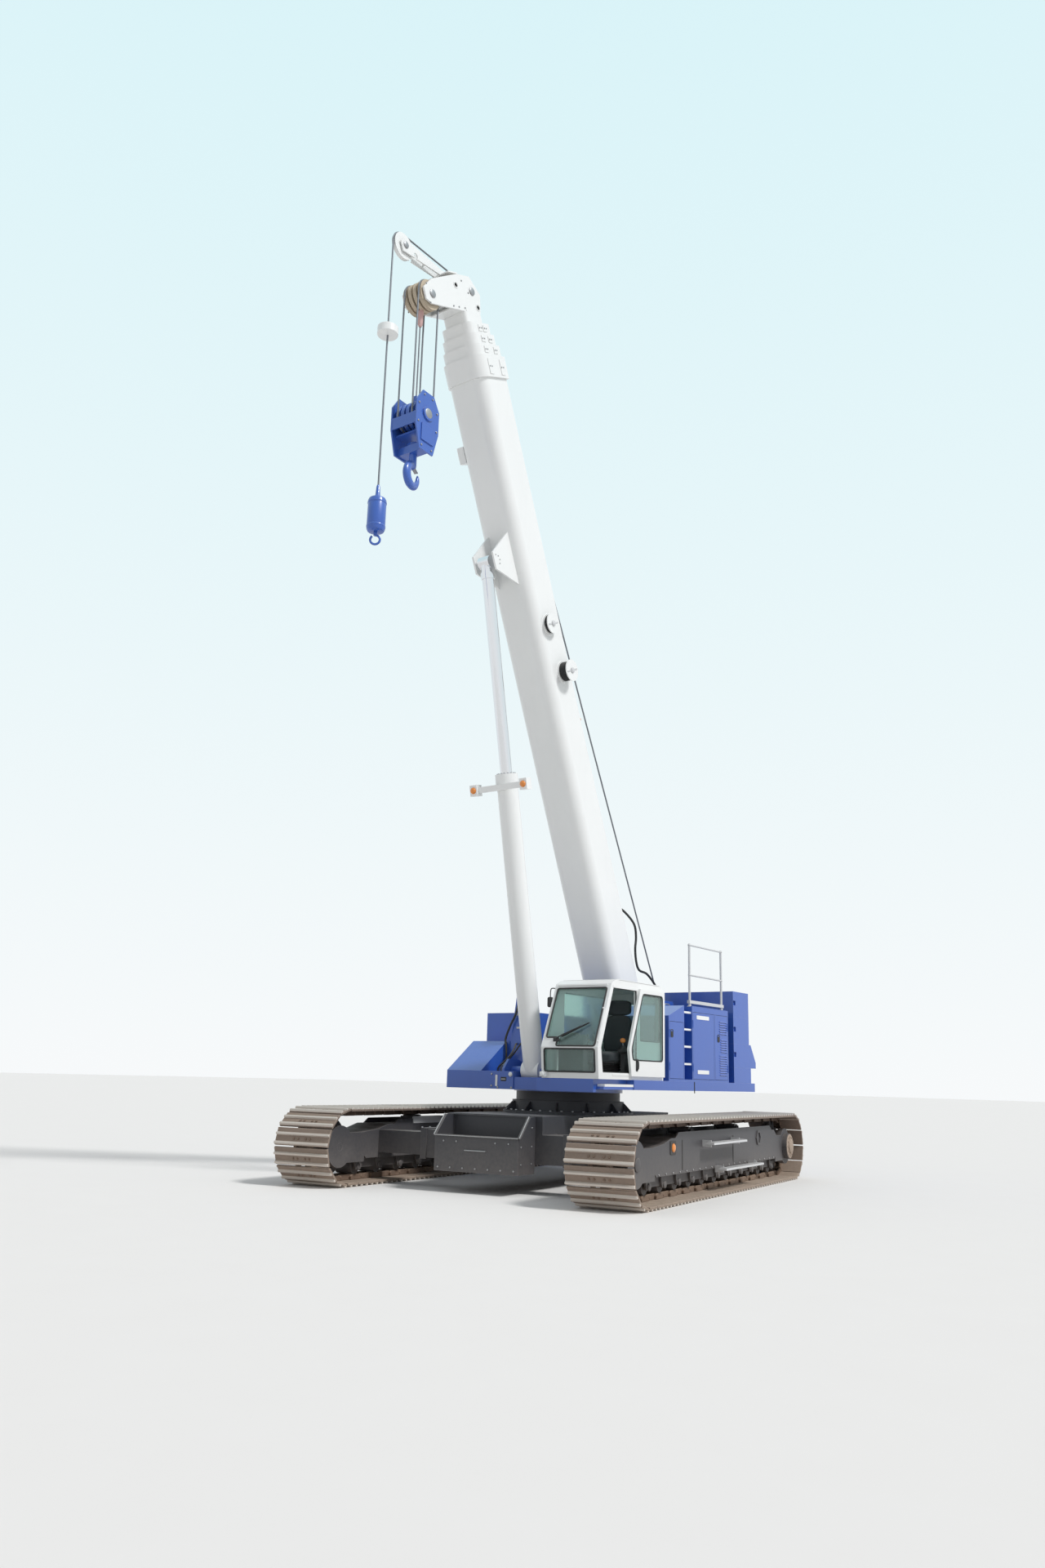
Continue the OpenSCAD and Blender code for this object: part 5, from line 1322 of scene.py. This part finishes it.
        stems = [tube(smooth_path([(0.54, y, 1.99), (0.545, y, 2.02), (0.55, y, 2.05)], 4), 0.009)
            for y in arm_y]
        knob = [(0, -0.034), (0.022, -0.030), (0.036, -0.016), (0.042, 0.004), (0.036, 0.024),
            (0.020, 0.036), (0, 0.040)]
        self.add("stick_stems", stems, STEEL, Slot.STEEL)
        self.add("stick_knobs", [lathed(knob, Axis.Z, (0.55, y, 2.075), 24) for y in arm_y], AMBER,
            Slot.TRIM)
        dash = np.array([(1.16, self.mat), (1.29, self.mat), (1.30, 1.95), (1.285, 2.06), (1.235, 2.13),
                (1.185, 2.12), (1.155, 1.98)])
        panel = plate(dash, m - 0.33, m + 0.10, Axis.Y, 0.012)
        hood = cushion((1.22, m - 0.17, 2.085), (0.07, 0.15, 0.075), 0.25, (), 1)
        levers = [tube(smooth_path([(1.02, y, self.mat), (1.025, y, 1.70), (1.00, y, 1.85), (0.965, y, 2.0),
                    (0.955, y, 2.06)], 5), 0.010) for y in lever_y]
        pedals = [slab((0.98, y - 0.05, 1.60), (1.08, y + 0.05, 1.62), 0.006) for y in lever_y]
        grips = [lathed([(0, -0.05), (0.015, -0.045), (0.017, 0.0), (0.020, 0.04), (0.012, 0.055),
                    (0, 0.058)], Axis.Z, (0.953, y, 2.09), 16) for y in lever_y]
        self.add("front_console", [panel, hood], TRIM, Slot.TRIM, ["cab_seat"])
        self.add("drive_levers", levers + pedals + grips, TRIM, Slot.TRIM)

    def build(self) -> None:
        """Makes the seals, the outside trim and the inside."""
        self.seals()
        self.outside()
        self.inside()


@dataclass
class Winches(Assembly):
    """Rope windings on the two drums."""

    drums: tuple[tuple[float, float], ...] = ((-1.88, 1.76), (-2.42, 2.56))
    half: float = 0.305
    radius: float = 0.2
    turns: int = 23

    def build(self) -> None:
        """Makes the windings: the drum's radius plus a rope's round crowns side by side."""
        across = np.linspace(-self.half, self.half, self.turns * 6 + 1)
        crown = 0.013 * (1 + np.sqrt(1 - 0.96 * np.cos(across / self.half * self.turns * math.pi / 2) ** 2))
        profile = np.column_stack([self.radius + crown, across])
        profile = np.vstack([(self.radius - 0.01, -self.half), profile, (self.radius - 0.01, self.half)])
        self.add("rope_windings", [lathed(profile, Axis.Y, (x, 0, z), 40) for x, z in self.drums], ROPE,
            Slot.ROPE)
        rims = [bolts([(x + a, y, z + b) for a, b in arc((0, 0), 0.155, 0, 315, 8)], Axis.Y, 0.014, 0.010,
                int(math.copysign(1, y))) for x, z in self.drums for y in (-0.332, 0.332)]
        self.add("drum_bolts", rims, STEEL, Slot.STEEL)


@dataclass
class Boom(Assembly):
    """Collar pads, reels, lamps and ropes of the boom."""

    body: str = "boom"
    bench: Bench = BOOM
    bodies: tuple[str, ...] = ("boom", "section_two", "section_three", "section_four")
    base_end: float = 10.95
    pitch: float = 0.176
    rope: float = 0.013
    roof: float = 0.362
    wall: float = 0.3503
    collar: float = 0.032
    step: float = 0.033
    half_width: float = 0.35
    half_height: float = 0.36

    def collars(self) -> None:
        """Makes the wear pad plates and their bolts round each collar."""
        for i, body in enumerate(self.bodies):
            end = self.base_end + i * self.pitch
            less = self.step * i
            w, h = self.half_width - less + self.collar, self.half_height - less + self.collar
            u0, u1 = (end - 0.30, end - 0.06) if i == 0 else (end - 0.135, end - 0.035)
            mid = (u0 + u1) / 2
            tops = [slab((u0, y - 0.055, h), (u1, y + 0.055, h + 0.010), 0.003)
                for y in (-0.2 + 0.03 * i, 0.2 - 0.03 * i)]
            sides = [slab((u0, s * w, v - 0.05), (u1, s * (w + 0.010), v + 0.05), 0.003, Axis.Y)
                for s in (-1, 1) for v in (h - 0.16, -h + 0.30)]
            rows = (-0.225 + 0.03 * i, -0.175 + 0.03 * i, 0.175 - 0.03 * i, 0.225 - 0.03 * i)
            heads = [bolts([(mid, y, h + 0.010) for y in rows], Axis.Z, 0.012, 0.008)]
            for s in (-1, 1):
                spots = [(mid, s * (w + 0.010), v + d) for v in (h - 0.16, -h + 0.30)
                    for d in (-0.025, 0.025)]
                heads.append(bolts(spots, Axis.Y, 0.012, 0.008, s))
            self.add(f"collar_pads_{i}", tops + sides, WHITE, Slot.WHITE, body=body)
            self.add(f"collar_bolts_{i}", heads, STEEL, Slot.STEEL, body=body)

    def fittings(self) -> None:
        """Makes the reel windings, lamps, the rope's roller and the foot's flanges."""
        hose = []
        for u, v, radius, width in ((5.93, 0.13, 0.175, 0.17), (6.72, 0.0, 0.165, 0.09)):
            low, high = self.wall + 0.017, self.wall + width - 0.017
            n = int((high - low) / 0.016)
            across = np.linspace(low, high, n * 6 + 1)
            crown = 0.008 * np.abs(np.sin((across - low) / (high - low) * n * math.pi))
            crowns = np.column_stack([radius - 0.028 + crown, across])
            profile = np.vstack([(radius - 0.04, low), crowns, (radius - 0.04, high)])
            hose.append(lathed(profile, Axis.Y, (u, 0, v), 40))
            spokes = [slab((u - 0.012, self.wall + width, v + a),
                    (u + 0.012, self.wall + width + 0.008, v + b), 0.003, Axis.Y)
                for a, b in ((0.03, radius - 0.03), (-radius + 0.03, -0.03))]
            hub = lathed([(0.045, 0), (0.045, 0.016), (0.03, 0.024), (0, 0.025)], Axis.Y,
                (u, self.wall + width, v), 24)
            self.add(f"reel_face_{round(u * 10)}", spokes + [hub], GREY, Slot.GREY)
        self.add("reel_hoses", hose, RUBBER, Slot.TRIM)
        face = rounded(oblong(9.53, 9.67, -0.235, -0.045), 0.02, 4)
        self.add("boom_lamp", [plate(face, -0.478, -0.470, Axis.Y, 0.003)], LENS, Slot.WHITE)
        small = lathed([(0.03, 0), (0.03, 0.03), (0.022, 0.045), (0, 0.05)], Axis.Z, (5.11, 0.30, 0.36), 20)
        self.add("boom_marker", [small], AMBER, Slot.TRIM)
        roller = lathed([(0.030, -0.075), (0.036, -0.060), (0.033, 0.0), (0.036, 0.060), (0.030, 0.075)],
            Axis.Y, (10.86, 0.07, 0.428), 24)
        ears = [plate(np.array([(10.81, 0.390), (10.91, 0.390), (10.885, 0.455), (10.835, 0.455)]),
                y - 0.005, y + 0.005, Axis.Y, 0.002) for y in (-0.012, 0.152)]
        self.add("rope_roller", [roller] + ears, STEEL, Slot.STEEL)
        rim = lathed([(0.150, 0), (0.150, 0.010), (0.135, 0.014), (0.080, 0.014), (0, 0.012)], Axis.Y,
            (0, 0, 0), 36)
        flange = [sided(rim, s, (0, s * self.half_width, 0)) for s in (-1, 1)]
        self.add("foot_flanges", flange, WHITE, Slot.WHITE)
        guide = arc((7.84, -0.83), 0.082, 0, 315, 8)
        keeper = [bolts([(u, 0.200, v) for u, v in guide[:4]], Axis.Y, 0.010, 0.008),
            bolts([(u, -0.200, v) for u, v in guide[:4]], Axis.Y, 0.010, 0.008, -1)]
        self.add("eye_bolts", keeper, STEEL, Slot.STEEL)

    def ropes(self) -> None:
        """Makes the hose at the foot, and the hoist rope from the rear drum over every section."""
        start, middle = np.array((-0.08, 0.30, 0.978)), np.array((10.86, 0.07, 0.477))
        stop = np.array((11.984, 0.045, 0.310))
        share = np.concatenate([np.linspace(0, 0.14, 16), np.linspace(0.17, 1.0, 20)])[:, None]
        knots = np.array([(-1.376, 0.37, 4.07), (-1.450, 0.37, 3.861), (-1.425, 0.37, 3.652),
                (-1.462, 0.37, 3.438), (-1.545, 0.38, 3.310), (-1.760, 0.41, 3.260), (-1.960, 0.46, 3.080),
                (-2.010, 0.52, 2.860), (-2.010, 0.55, 2.690)])
        first = [(1.95, 0.12, self.roof), (1.94, 0.15, self.roof + 0.07), (1.80, 0.27, self.roof + 0.15)]
        path = smooth_path(np.vstack([first, self.bench.drawn(knots)]), 5)
        self.line("foot_hose", path, 0.020, RUBBER, Slot.TRIM, "medium", "hanging", ("boom", "upper"), 0.9)
        self.line("hoist_rope", start + (middle - start) * share, self.rope, ROPE, Slot.ROPE, "medium",
            "taut", ("upper", "boom"), 0.14)
        bodies = [*self.bodies, "fly"]
        knots = np.linspace(middle, stop, 5)
        for i in range(4):
            path = np.linspace(knots[i], knots[i + 1], 12)
            self.line(f"hoist_rope_{i + 2}", path, self.rope, ROPE, Slot.ROPE, "medium", "taut",
                (bodies[i], bodies[i + 1]))

    def build(self) -> None:
        """Makes the collars' pads, the fittings and the ropes."""
        self.collars()
        self.fittings()
        self.ropes()


@dataclass
class Head(Assembly):
    """Ropes over the sheaves, pin keepers and bolts of the boom's head and nose jib."""

    body: str = "fly"
    bench: Bench = BOOM
    head: tuple[float, float] = (11.819, -0.976)
    guide: tuple[float, float] = (11.984, 0.11)
    nose: tuple[float, float] = (12.548, -1.166)
    head_r: float = 0.2253
    guide_r: float = 0.2
    nose_r: float = 0.2003
    fall_y: float = 0.135
    cheek: float = 0.210
    rope: float = 0.013

    def over(self, centre: tuple[float, float], radius: float, y: float, first: float,
            last: float) -> Array:
        """Points of a rope round a sheave, between two angles in the boom's plane."""
        flat = arc(centre, radius, first, last, 20)
        return np.column_stack([flat[:, 0], np.full(len(flat), y), flat[:, 1]])

    def build(self) -> None:
        """Makes the rope arcs over the head, the lines between sheaves, and the pins' keepers."""
        down = -65.0
        back = self.over(self.head, self.head_r, self.fall_y, down + 180, down)
        lead = np.vstack([self.over(self.guide, self.guide_r, -0.045, 90, -8.6),
                self.over(self.head, self.head_r, -self.fall_y, -8.6, down)])
        rear = self.over(self.head, self.head_r, -self.fall_y, down + 180, down + 90)
        line = np.vstack([self.over(self.guide, self.guide_r, 0.045, 90, 23.8),
                self.over(self.nose, self.nose_r, 0.0, 23.8, down)])
        ropes = [tube(p, self.rope) for p in (back, lead, rear, line)]
        self.add("head_ropes", ropes, ROPE, Slot.ROPE)
        caps = []
        for (u, v), radius, half in ((self.head, 0.062, self.cheek), (self.guide, 0.062, self.cheek),
                (self.nose, 0.050, 0.065)):
            turned = lathed([(radius, -0.001), (radius, 0.014), (radius - 0.012, 0.020), (0, 0.021)],
                Axis.Y, (0, 0, 0), 28)
            caps += [sided(turned, s, (u, s * half, v)) for s in (-1, 1)]
        self.add("axle_caps", caps, STEEL, Slot.STEEL)
        pins = [(11.744, 0.19), (12.034, -0.30)]
        collars = [lathed([(0.050, -0.006), (0.055, 0.0), (0.050, 0.006), (0.038, 0.006), (0.038, -0.006)],
                Axis.Y, (u, s * 0.213, v), 24) for u, v in pins for s in (-1, 1)]
        self.add("jib_pin_rings", collars, WHITE, Slot.WHITE)
        edge = [(11.70, -0.18), (11.70, -0.34), (11.70, -0.48), (11.95, 0.0), (12.12, -0.12),
            (11.68, -1.08), (11.96, -1.08)]
        self.add("head_bolts", [bolts([(u, self.cheek, v) for u, v in edge], Axis.Y, 0.014, 0.010),
                bolts([(u, -self.cheek, v) for u, v in edge], Axis.Y, 0.014, 0.010, -1)], STEEL, Slot.STEEL)


@dataclass
class Cylinder(Assembly):
    """Lamps, gland bolts and pipe of the luffing cylinder."""

    body: str = "barrel"
    bench: Bench = CYLINDER
    bar: float = 4.25
    gland: float = 4.45
    pipe_up: float = 0.205

    def build(self) -> None:
        """Makes the lamp lenses, the gland's bolts, the port blocks and the pipe."""
        dome = lathed([(0.050, 0), (0.050, 0.010), (0.042, 0.024), (0.024, 0.034), (0, 0.037)], Axis.Z,
            (0, 0, 0), 24)
        dome = outward(dome.moved(np.diag((1, -1, -1)), (0, 0, 0)))
        self.add("barrel_lamps", [dome.shifted((self.bar, y, -0.255)) for y in (-0.46, 0.46)], AMBER,
            Slot.TRIM)
        around = arc((0, 0), 0.135, 0, 337.5, 16)
        self.add("gland_bolts", [bolts([(self.gland, y, v) for y, v in around], Axis.X, 0.014, 0.016)],
            STEEL, Slot.STEEL)
        pipe = smooth_path([(0.34, 0.0, 0.158), (0.36, 0.0, 0.20), (0.42, 0.0, self.pipe_up),
                (2.2, 0.0, self.pipe_up), (4.0, 0.0, self.pipe_up), (4.09, 0.0, 0.20), (4.11, 0.0, 0.158)],
            6)
        blocks = [slab((u - 0.05, -0.045, 0.145), (u + 0.05, 0.045, 0.19), 0.006) for u in (0.34, 4.11)]
        clips = [slab((u - 0.015, -0.03, 0.150), (u + 0.015, 0.03, 0.222), 0.004) for u in (1.3, 2.2, 3.1)]
        self.add("barrel_pipe", [tube(pipe, 0.015)] + blocks + clips, WHITE, Slot.WHITE)


@dataclass
class MainHook(Assembly):
    """The main block's trim and its forged hook."""

    body: str = "main_block"
    head: tuple[float, float, float] = (4.3795, 0.0, 12.7192)
    drop: float = 2.0
    throat: float = -0.91
    mean: float = 0.15
    turn: float = math.radians(12.0)
    sheave_r: float = 0.2253
    rope: float = 0.013
    fall_y: float = 0.135
    anchor: float = 12.235

    def centre(self) -> Array:
        """Middle of the block's sheaves."""
        return np.array(self.head) - (0, 0, self.drop)

    def forged(self) -> Shell:
        """The hook's bowl, carried from its tip round to the shank.

        At angle a the middle line is the mean radius out from the throat's middle; the
        section is an ellipse, thin at the tip, fullest below the throat and round at the
        shank, with its radial half size a fifth more than the one across.
        """
        angle = np.radians(np.linspace(-206, 90, 60))
        share = np.linspace(0, 1, 60)
        thick = np.interp(share, [0, 0.04, 0.12, 0.30, 0.50, 0.68, 0.85, 1.0],
            [0.010, 0.026, 0.034, 0.048, 0.062, 0.062, 0.055, 0.055])
        swell = np.interp(share, [0, 0.08, 0.2, 0.5, 1.0], [0.022, 0.010, 0.0, 0.010, 0.0])
        around = ring(1.0, 20)
        out = self.mean + swell[:, None] + 1.18 * thick[:, None] * around[None, :, 0]
        across = 0.88 * thick[:, None] * around[None, :, 1]
        grid = np.stack([out * np.cos(angle)[:, None], across, out * np.sin(angle)[:, None]], axis=2)
        return woven(grid).shifted((0, 0, self.throat))

    def build(self) -> None:
        """Makes the hook with its nut and latch, and the block's bolts, caps, ropes and socket."""
        c, s = math.cos(self.turn), math.sin(self.turn)
        spin = np.array([[c, -s, 0], [s, c, 0], [0, 0, 1]])
        shank = lathed([(0.050, -0.79), (0.055, -0.76), (0.055, -0.47), (0.052, -0.4597)], Axis.Z,
            (0, 0, 0), 32)
        line = [(0.082, -0.4597), (0.090, -0.452), (0.090, -0.418), (0.080, -0.4097), (0.045, -0.4097),
            (0.040, -0.395), (0, -0.393)]
        nut = lathed(line, Axis.Z, (0, 0, 0), 6)
        steel = [self.forged(), shank, nut]
        self.add("forged_hook", [q.moved(spin, self.centre()) for q in steel], BLUE, Slot.BLUE,
            ["main_hook"], body="main_swivel")
        path = np.array([(0.052, 0, self.throat + 0.155), (0.0, 0, self.throat + 0.135),
                (-0.06, 0, self.throat + 0.115), (-0.118, 0, self.throat + 0.090)])
        strip = oblong(-0.030, 0.030, -0.003, 0.003)
        latch = swept(smooth_path(path, 4), strip, (0, 0, 1))
        pivot = lathed([(0.010, -0.045), (0.012, -0.040), (0.012, 0.040), (0.010, 0.045)], Axis.Y,
            (0.052, 0, self.throat + 0.155), 12)
        self.add("hook_latch", [q.moved(spin, self.centre()) for q in (latch, pivot)], STEEL, Slot.STEEL,
            body="main_swivel")
        x, _, z = self.centre()
        cheek = [(-0.09, 0.27), (0.09, 0.27), (-0.2, 0.09), (0.2, 0.09), (-0.2, -0.2), (0.2, -0.2),
            (-0.11, -0.54), (0.11, -0.54)]
        keys = []
        for side in (-1, 1):
            places = [(x + a, side * 0.239, z + b) for a, b in cheek]
            keys.append(bolts(places, Axis.Y, 0.016, 0.012, side))
            cap = lathed([(0.075, -0.002), (0.075, 0.012), (0.06, 0.018), (0, 0.019)], Axis.Y, (0, 0, 0),
                28)
            keys.append(sided(cap, side, (x, side * 0.248, z)))
        self.add("block_bolts", keys, STEEL, Slot.STEEL)
        loops = []
        for y in (-self.fall_y, self.fall_y):
            flat = arc((x, z), self.sheave_r, 180, 360, 24)
            loops.append(tube(np.column_stack([flat[:, 0], np.full(24, y), flat[:, 1]]), self.rope))
        loops.append(tube(np.array([(x, 0, z + 0.30), (x, 0, z + 0.95), (x, 0, 12.26)]), 0.011))
        self.add("block_ropes", loops, ROPE, Slot.ROPE)
        line = [(0, 0), (0.020, 0), (0.036, 0.035), (0.044, 0.235), (0.036, 0.275), (0, 0.280)]
        wedge = lathed(line, Axis.Z, (x, 0, self.anchor), 20)
        self.add("rope_anchor", [wedge], BLUSH, Slot.STEEL)
        eye = slab((x - 0.035, -0.028, z + 0.24), (x + 0.035, 0.028, z + 0.36), 0.008)
        self.add("block_becket", [eye], BLUE, Slot.BLUE)


@dataclass
class BallHook(Assembly):
    """The auxiliary line: rope, weight, ball and socket."""

    body: str = "aux_fall"
    nose: tuple[float, float, float] = (4.8598, 0.0, 13.2996)
    line_x: float = 0.2003
    drop: float = 4.15
    ball: float = 0.5
    rope: float = 0.013
    weight_up: float = 2.545

    def build(self) -> None:
        """Makes the socket over the ball, its bands, the rope and the white weight on it."""
        x, z = self.nose[0] + self.line_x, self.nose[2] - self.drop
        socket = lathed([(0.018, 0.20), (0.026, 0.17), (0.034, 0.05), (0.050, 0.02), (0.055, -0.001)][::-1],
            Axis.Z, (x, 0, z), 24)
        bands = [lathed([(0.1275, 0.0), (0.1315, 0.006), (0.1315, 0.024), (0.1275, 0.030)], Axis.Z,
                (x, 0, z - self.ball + h), 40) for h in (0.06, 0.41)]
        self.add("ball_fittings", [socket] + bands, BLUE, Slot.BLUE)
        line = tube(np.array([(x, 0, z - 0.02), (x, 0, z + 2.0), (x, 0, self.nose[2])]), self.rope)
        self.add("aux_rope", [line], ROPE, Slot.ROPE, ["aux_line"])
        low = z - self.ball
        ball = lathed([(0, low), (0.085, low), (0.112, low + 0.010), (0.127, low + 0.040),
                (0.127, z - 0.040), (0.113, z - 0.012), (0.087, z), (0, z)], Axis.Z, (x, 0, 0), 48)
        self.add("headache_ball", [ball], BLUE, Slot.BLUE, ["aux_line"])
        line = [(0, 0), (0.140, 0), (0.150, 0.011), (0.150, 0.119), (0.140, 0.130), (0, 0.130)]
        disc = lathed(line, Axis.Z, (x, 0, z + self.weight_up), 40)
        self.add("line_weight", [disc], WHITE, Slot.WHITE, ["aux_line"])


def dress_nodes() -> None:
    """Gives every CAD node the finish of its slot in the record."""
    for row in frame["record"]["subparts"]:
        obj = frame["nodes"][row["node"]]
        obj.data.materials.clear()
        obj.data.materials.append(FINISHES[Slot(row["material_slot"])].build())
        LOG.info("node %s: finish of slot %s", row["node"], row["material_slot"])


def main() -> None:
    """Builds the studio, the finishes and every sub-assembly in order."""
    logging.basicConfig(level=logging.INFO, format="%(name)s: %(message)s")
    np.random.seed(7)
    Studio().build()
    Boom().build()
    Hoods().build()
    for side, name in ((1, "left"), (-1, "right")):
        TrackChain(body=f"track_unit_{name}", side=side, name=name).build()
        SideFrame(body=f"track_unit_{name}", side=side, name=name).build()
    for assembly in (Carbody(), Cab(), Winches(), Head(), Cylinder(), MainHook(), BallHook()):
        assembly.build()
    dress_nodes()


if __name__ == "__main__":
    main()
